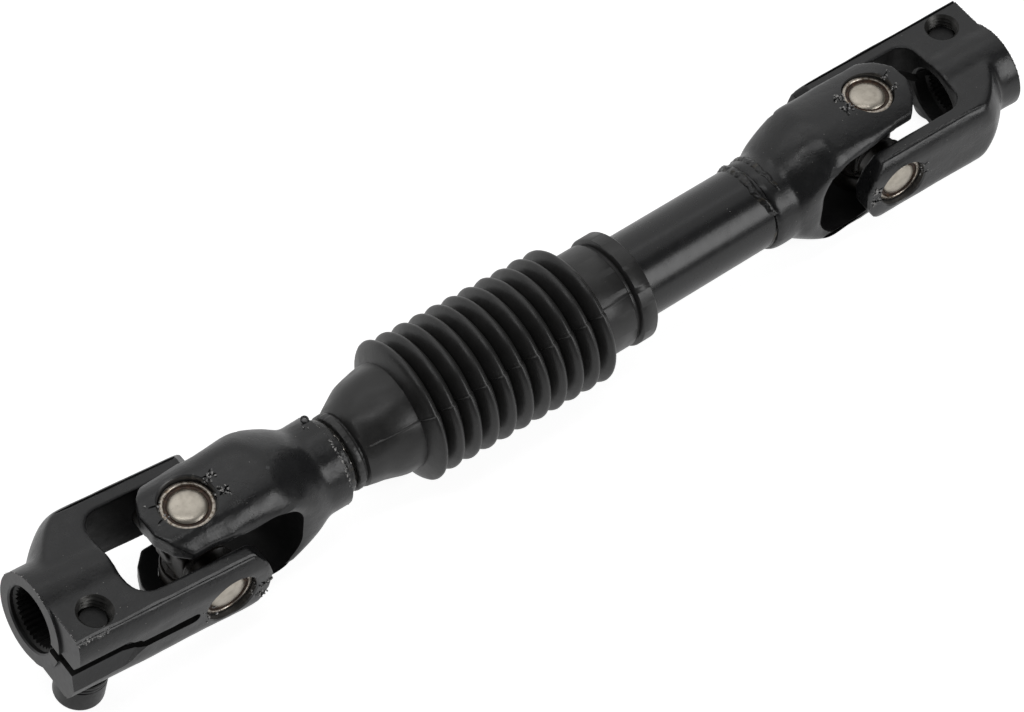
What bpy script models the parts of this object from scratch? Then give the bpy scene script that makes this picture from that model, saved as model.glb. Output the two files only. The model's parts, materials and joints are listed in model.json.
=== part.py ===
"""Intermediate steering shaft: two universal joints on a telescoping shaft with a bellows boot.

Units are metres. The shaft lies along X, the pins of the two inner yokes point up (Z), and
the pins of the two outer clamp yokes point across (Y). Each universal joint is built in its
own frame: the inner yoke's neck points to +X and the clamp yoke's barrel to -X. The upper
joint's frame is turned half round, so both ends use the same functions.
"""
import math

import bmesh
import bpy
from mathutils import Matrix, Vector

MM = 0.001
GAP = 0.3 * MM
OVERSHOOT = 4.0 * MM

# Layout of the whole shaft
JOINT_DISTANCE = 252.5 * MM
PHASE_ANGLE = math.radians(-6.0)
LOWER_SWING = math.radians(0.0)
LOWER_TILT = math.radians(10.0)
UPPER_SWING = math.radians(-5.0)
UPPER_TILT = math.radians(6.0)

# Ears and bearings, shared by all four yokes
EAR_REACH = 22.0 * MM
EAR_INNER = 15.0 * MM
EAR_FLAT = 6.5 * MM
SHOULDER_FLARE = 2.0 * MM
WINDOW_CORNER = 6.0 * MM
CUP_RADIUS = 8.0 * MM
CUP_FACE = 20.0 * MM
CUP_LENGTH = 10.4 * MM
CUP_FLOOR = 1.9 * MM
CUP_WALL = 1.1 * MM
CUP_DISC = 5.65 * MM
CUP_GROOVE_WIDTH = 1.0 * MM
CUP_GROOVE_DEPTH = 0.7 * MM
CUP_DOME = 0.5 * MM
CUP_CHAMFER = 0.4 * MM
TRUNNION_RADIUS = 5.0 * MM
TRUNNION_CHAMFER = 0.5 * MM
HUB_HALF = 6.9 * MM
HUB_BEVEL = 1.8 * MM
PLUG_RADIUS = 2.4 * MM
PLUG_HEIGHT = 1.1 * MM
NEEDLE_COUNT = 12
NEEDLE_INSET = 0.8 * MM
SEAL_RADIUS = 7.3 * MM
SEAL_LIP = 0.8 * MM

# Inner yokes
INNER_EAR_ROUND = 13.0 * MM
INNER_ROOT_HALF = 15.4 * MM
INNER_ROOT_X = 21.0 * MM
INNER_EAR_DROP = 3.6 * MM
INNER_WINDOW_END = 29.0 * MM
INNER_SHOULDER_END = 38.6 * MM
INNER_SHOULDER_LENGTH = 19.0 * MM
INNER_SHOULDER_EASE = 0.75
NECK_RADIUS = 14.1 * MM
LOWER_NECK_END = 46.6 * MM
UPPER_NECK_END = 46.6 * MM

# Outer clamp yokes
CLAMP_EAR_ROUND = 13.4 * MM
CLAMP_HALF = 12.9 * MM
CLAMP_EAR_DROP = 2.4 * MM
CLAMP_WINDOW_END = 28.5 * MM
BARREL_RADIUS = 14.1 * MM
BARREL_END = 52.0 * MM
BARREL_LAP = 2.0 * MM
BLOCK_STEP = 0.8 * MM
BLOCK_FRONT_X = 10.0 * MM
BLOCK_FRONT_Y = 1.0 * MM
SHOULDER_START = 44.8 * MM
SHOULDER_LENGTH = 15.0 * MM
SHOULDER_SINK = 0.5 * MM
SPLINE_RADIUS = 9.5 * MM
SPLINE_DEPTH = 0.7 * MM
SPLINE_TEETH = 36
BORE_CHAMFER = 0.6 * MM
SLOT_WIDTH = 2.7 * MM
RELIEF_WIDTH = 1.8 * MM
RELIEF_END = 11.0 * MM
RELIEF_START = 30.0 * MM
SLOT_MOUTH_DEPTH = 2.7 * MM
SLOT_MOUTH_HALF = 5.0 * MM

# Pinch bolt and washer
BOLT_X = 41.3 * MM
BOLT_Y = 12.9 * MM
BOLT_RADIUS = 4.9 * MM
BOLT_TIP_DEPTH = 3.9 * MM
BOLT_TIP_CHAMFER = 0.9 * MM
BOLT_HEAD_RADIUS = 7.3 * MM
BOLT_HEAD_HEIGHT = 10.4 * MM
BOLT_HEAD_ROUND = 1.6 * MM
BOLT_SOCKET = 8.0 * MM
BOLT_SOCKET_DEPTH = 5.0 * MM
BOLT_MOUTH = 0.5 * MM
WASHER_RADIUS = 7.5 * MM
WASHER_THICKNESS = 1.4 * MM

# Sliding splined shaft, its sleeve and the tube
SPIGOT_RADIUS = 8.0 * MM
SPIGOT_LENGTH = 12.7 * MM
FLANGE_RADIUS = 11.7 * MM
FLANGE_LENGTH = 2.5 * MM
FLANGE_END = LOWER_NECK_END + GAP + FLANGE_LENGTH
COLLAR_RADIUS = 9.9 * MM
COLLAR_LENGTH = 7.1 * MM
COLLAR_END = FLANGE_END + COLLAR_LENGTH
SHAFT_RADIUS = 9.2 * MM
SHAFT_TOOTH_DEPTH = 1.0 * MM
SHAFT_TEETH = 16
SHAFT_REACH = 32.0 * MM
TUBE_RADIUS = 13.6 * MM
TUBE_BORE = 11.3 * MM
TUBE_LENGTH = 72.6 * MM
TUBE_END = JOINT_DISTANCE - UPPER_NECK_END - GAP
TUBE_START = TUBE_END - TUBE_LENGTH
SHAFT_END = TUBE_START + SHAFT_REACH
SLEEVE_LENGTH = 27.0 * MM
WIPER_THICKNESS = 2.4 * MM
WIPER_TAPER = 0.6 * MM
TUBE_PLUG_LENGTH = 12.0 * MM
BEAD_HEIGHT = 0.8 * MM
BEAD_WIDTH = 2.4 * MM
YOKE_BEAD_X = 40.6 * MM

# Bellows boot
LIP_SETBACK = 1.0 * MM
BOOT_START = FLANGE_END + LIP_SETBACK
LIP_RADIUS = 12.2 * MM
LIP_LENGTH = 3.8 * MM
BELL_RADIUS = 17.0 * MM
FIRST_RIDGE = 74.6 * MM
FIRST_RIDGE_RADIUS = 22.2 * MM
RIDGE_COUNT = 11
RIDGE_RADIUS = 21.8 * MM
RIDGE_FLAT = 0.15
VALLEY_RADIUS = 17.4 * MM
CUFF_SETBACK = 5.1 * MM
CUFF_START = TUBE_START + CUFF_SETBACK
RIDGE_PITCH = (CUFF_START - FIRST_RIDGE) / (RIDGE_COUNT - 0.5)
CUFF_RADIUS = 16.8 * MM
CUFF_LENGTH = 10.2 * MM
CUFF_GROOVE = 0.9 * MM
CUFF_GROOVE_WIDTH = 1.6 * MM
BAND_RADIUS = 17.7 * MM
BAND_LENGTH = 5.6 * MM
BOOT_INNER = 16.0 * MM
BOOT_STEP = 1.0 * MM
BELL_STEP = 0.4 * MM

# Number of sides of the turned shapes, and turns that keep two cuts' corners apart
ROUND_STEPS = 32
BARREL_STEPS = 36
SMALL_STEPS = 16
DRILL_STEPS = 24
DRILL_TWIST = math.radians(3.3)
SPLINE_TWIST = math.radians(1.7)
SIDEWAYS = Matrix(((1, 0, 0, 0), (0, 0, -1, 0), (0, 1, 0, 0), (0, 0, 0, 1)))
ENDWAYS = Matrix(((0, 0, 1, 0), (1, 0, 0, 0), (0, 1, 0, 0), (0, 0, 0, 1)))


def clear_scene():
    for old in list(bpy.data.objects):
        bpy.data.objects.remove(old, do_unlink=True)


def new_collection(name):
    collection = bpy.data.collections.new(name)
    bpy.context.scene.collection.children.link(collection)
    return collection


def new_material(name, colour, roughness, metallic):
    material = bpy.data.materials.new(name)
    material.use_nodes = True
    shader = material.node_tree.nodes["Principled BSDF"]
    shader.inputs["Base Color"].default_value = (*colour, 1.0)
    shader.inputs["Roughness"].default_value = roughness
    shader.inputs["Metallic"].default_value = metallic
    material.diffuse_color = (*colour, 1.0)
    return material


clear_scene()
PARTS = new_collection("intermediate_steering_shaft")
CUTTERS = new_collection("cutters")
COLOURS = {
    "black_paint": ((0.035, 0.036, 0.038), 0.42, 0.3),
    "bright_steel": ((0.62, 0.60, 0.57), 0.28, 1.0),
    "dark_steel": ((0.10, 0.10, 0.10), 0.45, 0.8),
    "black_rubber": ((0.02, 0.02, 0.021), 0.65, 0.0),
    "nylon": ((0.78, 0.76, 0.68), 0.5, 0.0),
    "weld_metal": ((0.08, 0.08, 0.08), 0.5, 0.6),
}


def empty(name, parent, location=(0, 0, 0), rotation=(0, 0, 0)):
    pivot = bpy.data.objects.new(name, None)
    pivot.empty_display_size = 10 * MM
    pivot.location = location
    pivot.rotation_euler = rotation
    pivot.parent = parent
    PARTS.objects.link(pivot)
    return pivot


def add_part(name, mesh, pivot, colour):
    part = bpy.data.objects.new(name, mesh)
    material = new_material(name + "_" + colour, *COLOURS[colour])
    mesh.materials.append(material)
    part.parent = pivot
    PARTS.objects.link(part)
    return part


def add_cutter(name, mesh, pivot):
    cutter = bpy.data.objects.new(name, mesh)
    cutter.parent = pivot
    cutter.hide_render = True
    cutter.display_type = "WIRE"
    CUTTERS.objects.link(cutter)
    return cutter


def combine(part, other, operation):
    boolean = part.modifiers.new(other.name, "BOOLEAN")
    boolean.operation = operation
    boolean.solver = "EXACT"
    boolean.object = other


def profile_mesh(name, profile, twist=0.0):
    """Edges of a turned profile, given as (radius, height) down its outer side."""
    mesh = bpy.data.meshes.new(name)
    points = [(radius * math.cos(twist), radius * math.sin(twist), height) for radius, height in profile]
    edges = [(i, i + 1) for i in range(len(points) - 1)]
    if profile[0][0] > 0:
        edges.append((len(points) - 1, 0))
    mesh.from_pydata(points, edges, [])
    return mesh


def turn(turned_object, steps, along):
    """Turns a profile about the object's Z axis and points that axis along X, Y or Z."""
    screw = turned_object.modifiers.new("turn", "SCREW")
    screw.steps = steps
    screw.render_steps = steps
    screw.use_merge_vertices = True
    screw.merge_threshold = 0.00001
    screw.use_smooth_shade = True
    turned_object.rotation_euler = {
        "X": (0, math.pi / 2, 0),
        "-X": (0, -math.pi / 2, 0),
        "Y": (-math.pi / 2, 0, 0),
        "-Y": (math.pi / 2, 0, 0),
        "Z": (0, 0, 0),
        "-Z": (math.pi, 0, 0),
    }[along]


def turned_part(name, profile, pivot, colour, along="X", steps=ROUND_STEPS):
    part = add_part(name, profile_mesh(name, profile), pivot, colour)
    turn(part, steps, along)
    return part


def turned_cutter(name, profile, pivot, along="X", steps=ROUND_STEPS, twist=DRILL_TWIST):
    cutter = add_cutter(name, profile_mesh(name, profile, twist), pivot)
    turn(cutter, steps, along)
    return cutter


def outline_mesh(name, outline, low, high, frame=Matrix(), hole=None):
    """Mesh of a flat outline that runs from low to high along its own third axis."""
    curve = bpy.data.curves.new(name, "CURVE")
    curve.dimensions = "2D"
    curve.fill_mode = "BOTH"
    curve.extrude = (high - low) / 2
    for loop in (outline, hole):
        if loop is None:
            continue
        spline = curve.splines.new("POLY")
        spline.points.add(len(loop) - 1)
        for point, (u, v) in zip(spline.points, loop):
            point.co = (u, v, 0, 1)
        spline.use_cyclic_u = True
    holder = bpy.data.objects.new(name + "_outline", curve)
    CUTTERS.objects.link(holder)
    bpy.context.view_layer.update()
    depsgraph = bpy.context.evaluated_depsgraph_get()
    mesh = bpy.data.meshes.new_from_object(holder.evaluated_get(depsgraph))
    bpy.data.objects.remove(holder, do_unlink=True)
    solid = bmesh.new()
    solid.from_mesh(mesh)
    bmesh.ops.remove_doubles(solid, verts=solid.verts, dist=0.000001)
    bmesh.ops.translate(solid, verts=solid.verts, vec=(0, 0, (low + high) / 2))
    bmesh.ops.transform(solid, matrix=frame, verts=solid.verts)
    bmesh.ops.recalc_face_normals(solid, faces=solid.faces)
    solid.to_mesh(mesh)
    solid.free()
    return mesh


def arc(centre, radius, start, end, count):
    """Points on an arc from start to end, in degrees."""
    points = []
    for i in range(count):
        angle = math.radians(start + (end - start) * i / (count - 1))
        points.append((centre[0] + radius * math.cos(angle), centre[1] + radius * math.sin(angle)))
    return points


def ring_outline(radius, corners):
    """Corners of a regular outline."""
    angles = [2 * math.pi * i / corners for i in range(corners)]
    return [(radius * math.cos(angle), radius * math.sin(angle)) for angle in angles]


def crowned_section(reach, drop, flat, half):
    """Section of a yoke's ears: flat in the middle and falling by drop at its half width."""
    side = []
    count = 4
    for i in range(count + 1):
        share = i / count
        side.append((reach - drop * share ** 2, flat + (half - flat) * share))
    slope = 2 * drop / (half - flat)
    side.append((side[-1][0] - slope * OVERSHOOT, half + OVERSHOOT))
    right = [(u, -v) for u, v in reversed(side)] + side
    return right + [(-u, -v) for u, v in right]


def window_outline(end, inner, corner, lead):
    """A yoke's window, closed at end and open at lead towards -X."""
    upper = arc((end - corner, inner - corner), corner, 90, 0, 6)
    return [(-lead, inner)] + upper + [(x, -y) for x, y in reversed(upper)] + [(-lead, -inner)]


def toothed_outline(root, tip, teeth, tooth_share, flank_share):
    """Outline of straight teeth between two radii, tip outside root or inside it."""
    points = []
    pitch = 2 * math.pi / teeth
    half_tip = tooth_share / 2
    half_root = half_tip + flank_share
    corners = ((-half_tip, tip), (half_tip, tip), (half_root, root), (1 - half_root, root))
    for i in range(teeth):
        for share, radius in corners:
            angle = (i + share) * pitch
            points.append((radius * math.cos(angle), radius * math.sin(angle)))
    return points


def serrated_outline(root, tip, teeth, twist=0.0):
    """Outline of fine pointed serrations."""
    points = []
    for i in range(2 * teeth):
        radius = root if i % 2 else tip
        angle = math.pi * i / teeth + twist
        points.append((radius * math.cos(angle), radius * math.sin(angle)))
    return points


def ear_holes(part, name, pivot, along):
    radius = CUP_RADIUS + GAP
    length = EAR_REACH + OVERSHOOT
    profile = [(0, length), (radius, length), (radius, -length), (0, -length)]
    combine(part, turned_cutter(name + "_ear_holes", profile, pivot, along, DRILL_STEPS), "DIFFERENCE")


def inner_yoke(name, pivot, neck_end):
    """Forged yoke on the shaft: ears up and down, a round shoulder and a neck to +X."""
    tip = -INNER_EAR_ROUND - OVERSHOOT
    widest = EAR_REACH + SHOULDER_FLARE
    profile = [(0, neck_end), (NECK_RADIUS, neck_end)]
    count = 7
    for i in range(count + 1):
        share = i / count
        radius = NECK_RADIUS + (widest - NECK_RADIUS) * share ** INNER_SHOULDER_EASE
        profile.append((radius, INNER_SHOULDER_END - INNER_SHOULDER_LENGTH * share))
    profile += [(widest, tip), (0, tip)]
    yoke = turned_part(name, profile, pivot, "black_paint", steps=BARREL_STEPS)

    side = arc((0, 0), INNER_EAR_ROUND, 180, 96, 9)
    side += [(INNER_ROOT_X, INNER_ROOT_HALF), (neck_end + OVERSHOOT, INNER_ROOT_HALF)]
    plan = side + [(x, -y) for x, y in reversed(side[1:])]
    plan_mesh = outline_mesh(name + "_plan", plan, -widest - OVERSHOOT, widest + OVERSHOOT)
    combine(yoke, add_cutter(name + "_plan", plan_mesh, pivot), "INTERSECT")

    section = crowned_section(EAR_REACH, INNER_EAR_DROP, EAR_FLAT, INNER_EAR_ROUND)
    section = [(v, u) for u, v in section]
    section_mesh = outline_mesh(name + "_section", section, tip - OVERSHOOT, neck_end + OVERSHOOT, ENDWAYS)
    combine(yoke, add_cutter(name + "_section", section_mesh, pivot), "INTERSECT")

    window = window_outline(INNER_WINDOW_END, EAR_INNER, WINDOW_CORNER, OVERSHOOT - tip)
    window_mesh = outline_mesh(name + "_window", window, -widest, widest, SIDEWAYS)
    combine(yoke, add_cutter(name + "_window", window_mesh, pivot), "DIFFERENCE")
    ear_holes(yoke, name, pivot, "Z")
    return yoke


def clamp_yoke(name, pivot):
    """Forged yoke with a splined, slotted barrel to -X and a pinch block on its -Y side."""
    tip = CLAMP_EAR_ROUND + OVERSHOOT
    widest = EAR_REACH + SHOULDER_FLARE
    block_end = BLOCK_STEP - BARREL_END
    outside = -BARREL_END - OVERSHOOT

    side = arc((0, 0), CLAMP_EAR_ROUND, 74, -74, 13)
    outline = [(block_end, CLAMP_HALF)] + side + [(block_end, -CLAMP_HALF)]
    slab_mesh = outline_mesh(name, outline, -widest, widest, SIDEWAYS)
    yoke = add_part(name, slab_mesh, pivot, "black_paint")

    profile = [(0, tip), (widest, tip)]
    count = 6
    root = BARREL_RADIUS - SHOULDER_SINK
    for i in range(count + 1):
        share = i / count
        radius = root + (widest - root) * math.cos(share * math.pi / 2)
        profile.append((radius, -SHOULDER_START + SHOULDER_LENGTH * (1 - share)))
    profile += [(root - SHOULDER_SINK, -BARREL_END), (0, -BARREL_END)]
    envelope = turned_cutter(name + "_envelope", profile, pivot, steps=BARREL_STEPS)
    front = [(outside, -2 * widest), (-BLOCK_FRONT_X, -2 * widest), (-BLOCK_FRONT_X, -BLOCK_FRONT_Y),
             (outside, -BLOCK_FRONT_Y)]
    front_mesh = outline_mesh(name + "_front", front, -widest, widest)
    combine(envelope, add_cutter(name + "_front", front_mesh, pivot), "UNION")
    combine(yoke, envelope, "INTERSECT")

    section = crowned_section(EAR_REACH, CLAMP_EAR_DROP, EAR_FLAT, CLAMP_HALF)
    section_mesh = outline_mesh(name + "_section", section, outside, tip + OVERSHOOT, ENDWAYS)
    combine(yoke, add_cutter(name + "_section", section_mesh, pivot), "INTERSECT")

    barrel_inner = BARREL_LAP - CLAMP_WINDOW_END
    barrel = [(0, barrel_inner), (BARREL_RADIUS, barrel_inner),
              (BARREL_RADIUS, -BARREL_END), (0, -BARREL_END)]
    combine(yoke, turned_cutter(name + "_barrel", barrel, pivot, steps=BARREL_STEPS, twist=0.0), "UNION")

    window = window_outline(CLAMP_WINDOW_END, EAR_INNER, WINDOW_CORNER, tip + OVERSHOOT)
    window = [(-x, y) for x, y in window]
    window_mesh = outline_mesh(name + "_window", window, -widest, widest)
    combine(yoke, add_cutter(name + "_window", window_mesh, pivot), "DIFFERENCE")

    bore = serrated_outline(SPLINE_RADIUS, SPLINE_RADIUS - SPLINE_DEPTH, SPLINE_TEETH, SPLINE_TWIST)
    bore_mesh = outline_mesh(name + "_bore", bore, outside, barrel_inner, ENDWAYS)
    combine(yoke, add_cutter(name + "_bore", bore_mesh, pivot), "DIFFERENCE")
    mouth_radius = SPLINE_RADIUS + BORE_CHAMFER
    mouth_depth = BORE_CHAMFER + SPLINE_DEPTH
    mouth = [(0, -BARREL_END + mouth_depth), (mouth_radius - mouth_depth, -BARREL_END + mouth_depth),
             (mouth_radius + OVERSHOOT, outside), (0, outside)]
    combine(yoke, turned_cutter(name + "_mouth", mouth, pivot, steps=DRILL_STEPS), "DIFFERENCE")
    ear_holes(yoke, name, pivot, "Y")

    for label, width, start, end in (("slot", SLOT_WIDTH, -outside, RELIEF_START),
                                     ("relief", RELIEF_WIDTH, RELIEF_START + BARREL_LAP, RELIEF_END)):
        cut = [(-start, -width / 2), (-end, -width / 2), (-end, width / 2), (-start, width / 2)]
        deep = SPLINE_RADIUS / 2
        cut_mesh = outline_mesh(name + "_" + label, cut, deep, widest, SIDEWAYS)
        combine(yoke, add_cutter(name + "_" + label, cut_mesh, pivot), "DIFFERENCE")

    front_face = -EAR_REACH
    vee_tip = front_face + SLOT_MOUTH_DEPTH + SLOT_WIDTH / 2
    vee_slope = SLOT_MOUTH_HALF / (vee_tip - front_face)
    vee_back = front_face - OVERSHOOT
    vee_half = vee_slope * (vee_tip - vee_back)
    vee = [(vee_tip, 0), (vee_back, vee_half), (vee_back, -vee_half)]
    vee_mesh = outline_mesh(name + "_vee", vee, outside, -RELIEF_START, ENDWAYS)
    combine(yoke, add_cutter(name + "_vee", vee_mesh, pivot), "DIFFERENCE")

    hole_radius = BOLT_RADIUS + GAP
    top = CLAMP_HALF
    flare = BOLT_MOUTH + OVERSHOOT
    hole = [(0, top + OVERSHOOT), (hole_radius + flare, top + OVERSHOOT), (hole_radius, top - BOLT_MOUTH),
            (hole_radius, -top - OVERSHOOT), (0, -top - OVERSHOOT)]
    drill = turned_cutter(name + "_bolt_hole", hole, pivot, "Z", DRILL_STEPS)
    drill.location = (-BOLT_X, -BOLT_Y, 0)
    combine(yoke, drill, "DIFFERENCE")
    return yoke


def pinch_bolt(name, pivot):
    """Socket-head pinch bolt that comes up from below, and the washer under its head."""
    axis = empty(name + "_axis", pivot, (-BOLT_X, -BOLT_Y, 0))
    washer_top = -CLAMP_HALF - GAP
    washer_low = washer_top - WASHER_THICKNESS
    bore = BOLT_RADIUS + GAP
    washer = [(WASHER_RADIUS, washer_top), (WASHER_RADIUS, washer_low),
              (bore, washer_low), (bore, washer_top)]
    turned_part(name.replace("bolt", "washer"), washer, axis, "dark_steel", "Z", steps=DRILL_STEPS)

    tip = CLAMP_HALF - BOLT_TIP_DEPTH
    head_top = washer_low - GAP
    head_low = head_top - BOLT_HEAD_HEIGHT
    profile = [(0, tip), (BOLT_RADIUS - BOLT_TIP_CHAMFER, tip), (BOLT_RADIUS, tip - BOLT_TIP_CHAMFER),
               (BOLT_RADIUS, head_top), (BOLT_HEAD_RADIUS, head_top)]
    centre = (BOLT_HEAD_RADIUS - BOLT_HEAD_ROUND, head_low + BOLT_HEAD_ROUND)
    profile += arc(centre, BOLT_HEAD_ROUND, 0, -90, 4) + [(0, head_low)]
    bolt = turned_part(name, profile, axis, "dark_steel", "Z", steps=DRILL_STEPS)
    hexagon = ring_outline(BOLT_SOCKET / math.sqrt(3), 6)
    socket_mesh = outline_mesh(name + "_socket", hexagon, head_low - OVERSHOOT, head_low + BOLT_SOCKET_DEPTH)
    combine(bolt, add_cutter(name + "_socket", socket_mesh, axis), "DIFFERENCE")


def cross(name, pivot):
    """Cross of a universal joint: a hub with four trunnions and a lubrication plug."""
    length = CUP_FACE - CUP_FLOOR - GAP
    hub = bpy.data.meshes.new(name)
    body = bmesh.new()
    bmesh.ops.create_cube(body, size=2 * HUB_HALF)
    bmesh.ops.bevel(body, geom=body.edges, offset=HUB_BEVEL, segments=2, affect="EDGES", profile=0.5)
    body.to_mesh(hub)
    body.free()
    spider = add_part(name, hub, pivot, "dark_steel")
    end_radius = TRUNNION_RADIUS - TRUNNION_CHAMFER
    shoulder = length - TRUNNION_CHAMFER
    trunnion = [(0, length), (end_radius, length), (TRUNNION_RADIUS, shoulder),
                (TRUNNION_RADIUS, -shoulder), (end_radius, -length), (0, -length)]
    for label, along in (("upright", "Z"), ("crosswise", "Y")):
        pin = turned_cutter(name + "_" + label, trunnion, pivot, along, steps=SMALL_STEPS)
        combine(spider, pin, "UNION")
    plug = [(0, HUB_HALF + PLUG_HEIGHT), (PLUG_RADIUS, HUB_HALF + PLUG_HEIGHT), (PLUG_RADIUS, 0), (0, 0)]
    combine(spider, turned_cutter(name + "_plug", plug, pivot, "-X", steps=12), "UNION")


def bearing(name, pivot, along):
    """One trunnion's bearing: a domed cup, its ring of needle rollers and its seal."""
    top = CUP_FACE
    low = top - CUP_LENGTH
    floor = top - CUP_FLOOR
    wall = CUP_RADIUS - CUP_WALL
    groove = CUP_DISC + CUP_GROOVE_WIDTH
    middle = (CUP_DISC / math.sqrt(2), top)
    cup = [(0, top + CUP_DOME), middle, (CUP_DISC, top - CUP_DOME),
           (CUP_DISC, top - CUP_GROOVE_DEPTH), (groove, top - CUP_GROOVE_DEPTH), (groove, top),
           (CUP_RADIUS - CUP_CHAMFER, top), (CUP_RADIUS, top - CUP_CHAMFER), (CUP_RADIUS, low),
           (wall, low), (wall, floor), (0, floor)]
    turned_part(name + "_cup", cup, pivot, "bright_steel", along, steps=SMALL_STEPS)

    inner = TRUNNION_RADIUS + GAP
    outer = wall - GAP
    bottom = low + NEEDLE_INSET
    lobes = serrated_outline(outer - (outer - inner) / 3, outer, NEEDLE_COUNT)
    bore = ring_outline(inner / math.cos(math.pi / NEEDLE_COUNT), NEEDLE_COUNT)
    ring = outline_mesh(name + "_needles", lobes, bottom, floor - GAP, hole=bore)
    needles = add_part(name + "_needles", ring, pivot, "bright_steel")
    needles.rotation_euler = {"Y": (-math.pi / 2, 0, 0), "-Y": (math.pi / 2, 0, 0),
                              "Z": (0, 0, 0), "-Z": (math.pi, 0, 0)}[along]

    seal_low = HUB_HALF + GAP
    seal_top = low - GAP
    middle = (seal_low + seal_top) / 2
    seal = [(SEAL_RADIUS, seal_top), (SEAL_RADIUS, middle), (SEAL_RADIUS - SEAL_LIP, seal_low),
            (inner, seal_low), (inner, seal_top)]
    turned_part(name + "_seal", seal, pivot, "black_rubber", along, steps=SMALL_STEPS)


def universal_joint(end, frame, swing, tilt, neck_end):
    """Both yokes, the cross, four bearings and the pinch bolt of one end."""
    cross_pivot = empty(end + "_cross_pivot", frame, rotation=(0, 0, swing))
    clamp_pivot = empty(end + "_clamp_pivot", cross_pivot, rotation=(0, tilt, 0))
    inner = inner_yoke(end + "_inner_yoke", frame, neck_end)
    clamp_yoke(end + "_clamp_yoke", clamp_pivot)
    pinch_bolt(end + "_pinch_bolt", clamp_pivot)
    cross(end + "_cross", cross_pivot)
    for label, pivot, along in (("top", frame, "Z"), ("bottom", frame, "-Z"),
                                ("front", clamp_pivot, "-Y"), ("back", clamp_pivot, "Y")):
        bearing(end + "_" + label, pivot, along)
    return inner


def sliding_shaft(pivot, neck):
    """Splined shaft that is pressed into the lower yoke's neck and slides in the tube."""
    socket_end = LOWER_NECK_END - SPIGOT_LENGTH
    socket_mouth = LOWER_NECK_END + OVERSHOOT
    socket = [(0, socket_mouth), (SPIGOT_RADIUS + GAP, socket_mouth),
              (SPIGOT_RADIUS + GAP, socket_end), (0, socket_end)]
    combine(neck, turned_cutter("lower_neck_socket", socket, pivot, steps=SMALL_STEPS), "DIFFERENCE")

    teeth = toothed_outline(SHAFT_RADIUS - SHAFT_TOOTH_DEPTH, SHAFT_RADIUS, SHAFT_TEETH, 0.36, 0.1)
    mesh = outline_mesh("sliding_shaft", teeth, COLLAR_END - BARREL_LAP, SHAFT_END, ENDWAYS)
    shaft = add_part("sliding_shaft", mesh, pivot, "bright_steel")
    collar_start = LOWER_NECK_END + GAP
    stub = [(0, COLLAR_END), (COLLAR_RADIUS, COLLAR_END), (COLLAR_RADIUS, FLANGE_END),
            (FLANGE_RADIUS, FLANGE_END), (FLANGE_RADIUS, collar_start),
            (SPIGOT_RADIUS, collar_start), (SPIGOT_RADIUS, socket_end + GAP), (0, socket_end + GAP)]
    combine(shaft, turned_cutter("sliding_shaft_collar", stub, pivot, steps=SMALL_STEPS), "UNION")


def tube_assembly(pivot, neck, neck_pivot):
    """Tube, its splined sleeve and wiper, and the weld to the upper yoke."""
    tube = [(TUBE_RADIUS, TUBE_END), (TUBE_RADIUS, TUBE_START),
            (TUBE_BORE, TUBE_START), (TUBE_BORE, TUBE_END)]
    turned_part("shaft_tube", tube, pivot, "black_paint")

    plug_radius = TUBE_BORE - GAP
    plug_end = UPPER_NECK_END + TUBE_PLUG_LENGTH
    plug_root = UPPER_NECK_END - BARREL_LAP
    plug = [(0, plug_end), (plug_radius, plug_end), (plug_radius, plug_root), (0, plug_root)]
    combine(neck, turned_cutter("upper_neck_plug", plug, neck_pivot), "UNION")

    sleeve_start = TUBE_START + GAP
    outer = [(0, sleeve_start + SLEEVE_LENGTH), (TUBE_BORE - GAP, sleeve_start + SLEEVE_LENGTH),
             (TUBE_BORE - GAP, sleeve_start), (0, sleeve_start)]
    sleeve = turned_part("spline_sleeve", outer, pivot, "nylon")
    root = SHAFT_RADIUS - SHAFT_TOOTH_DEPTH + GAP
    grooves = toothed_outline(root, SHAFT_RADIUS + GAP, SHAFT_TEETH, 0.46, 0.12)
    grooves_mesh = outline_mesh("sleeve_grooves", grooves, sleeve_start - OVERSHOOT,
                                sleeve_start + SLEEVE_LENGTH + OVERSHOOT, ENDWAYS)
    combine(sleeve, add_cutter("sleeve_grooves", grooves_mesh, pivot), "DIFFERENCE")

    wiper_end = TUBE_START - GAP
    wiper_bore = SHAFT_RADIUS + GAP
    wiper = [(TUBE_RADIUS, wiper_end), (TUBE_RADIUS - WIPER_TAPER, wiper_end - WIPER_THICKNESS),
             (wiper_bore, wiper_end - WIPER_THICKNESS), (wiper_bore, wiper_end)]
    turned_part("tube_wiper", wiper, pivot, "black_rubber", steps=DRILL_STEPS)

    weld_bead("tube_weld_bead", pivot, TUBE_END - BEAD_WIDTH, TUBE_RADIUS)
    weld_bead("yoke_weld_bead", pivot, JOINT_DISTANCE - YOKE_BEAD_X - BEAD_WIDTH, NECK_RADIUS)


def weld_bead(name, pivot, start, radius):
    """A ring of weld that rises from the radius that it lies on."""
    low = radius + GAP
    crest = radius + GAP + BEAD_HEIGHT
    bead = [(low, start + BEAD_WIDTH), (crest, start + BEAD_WIDTH * 0.7), (crest, start + BEAD_WIDTH * 0.3),
            (low, start)]
    turned_part(name, bead, pivot, "weld_metal", steps=DRILL_STEPS)


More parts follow.
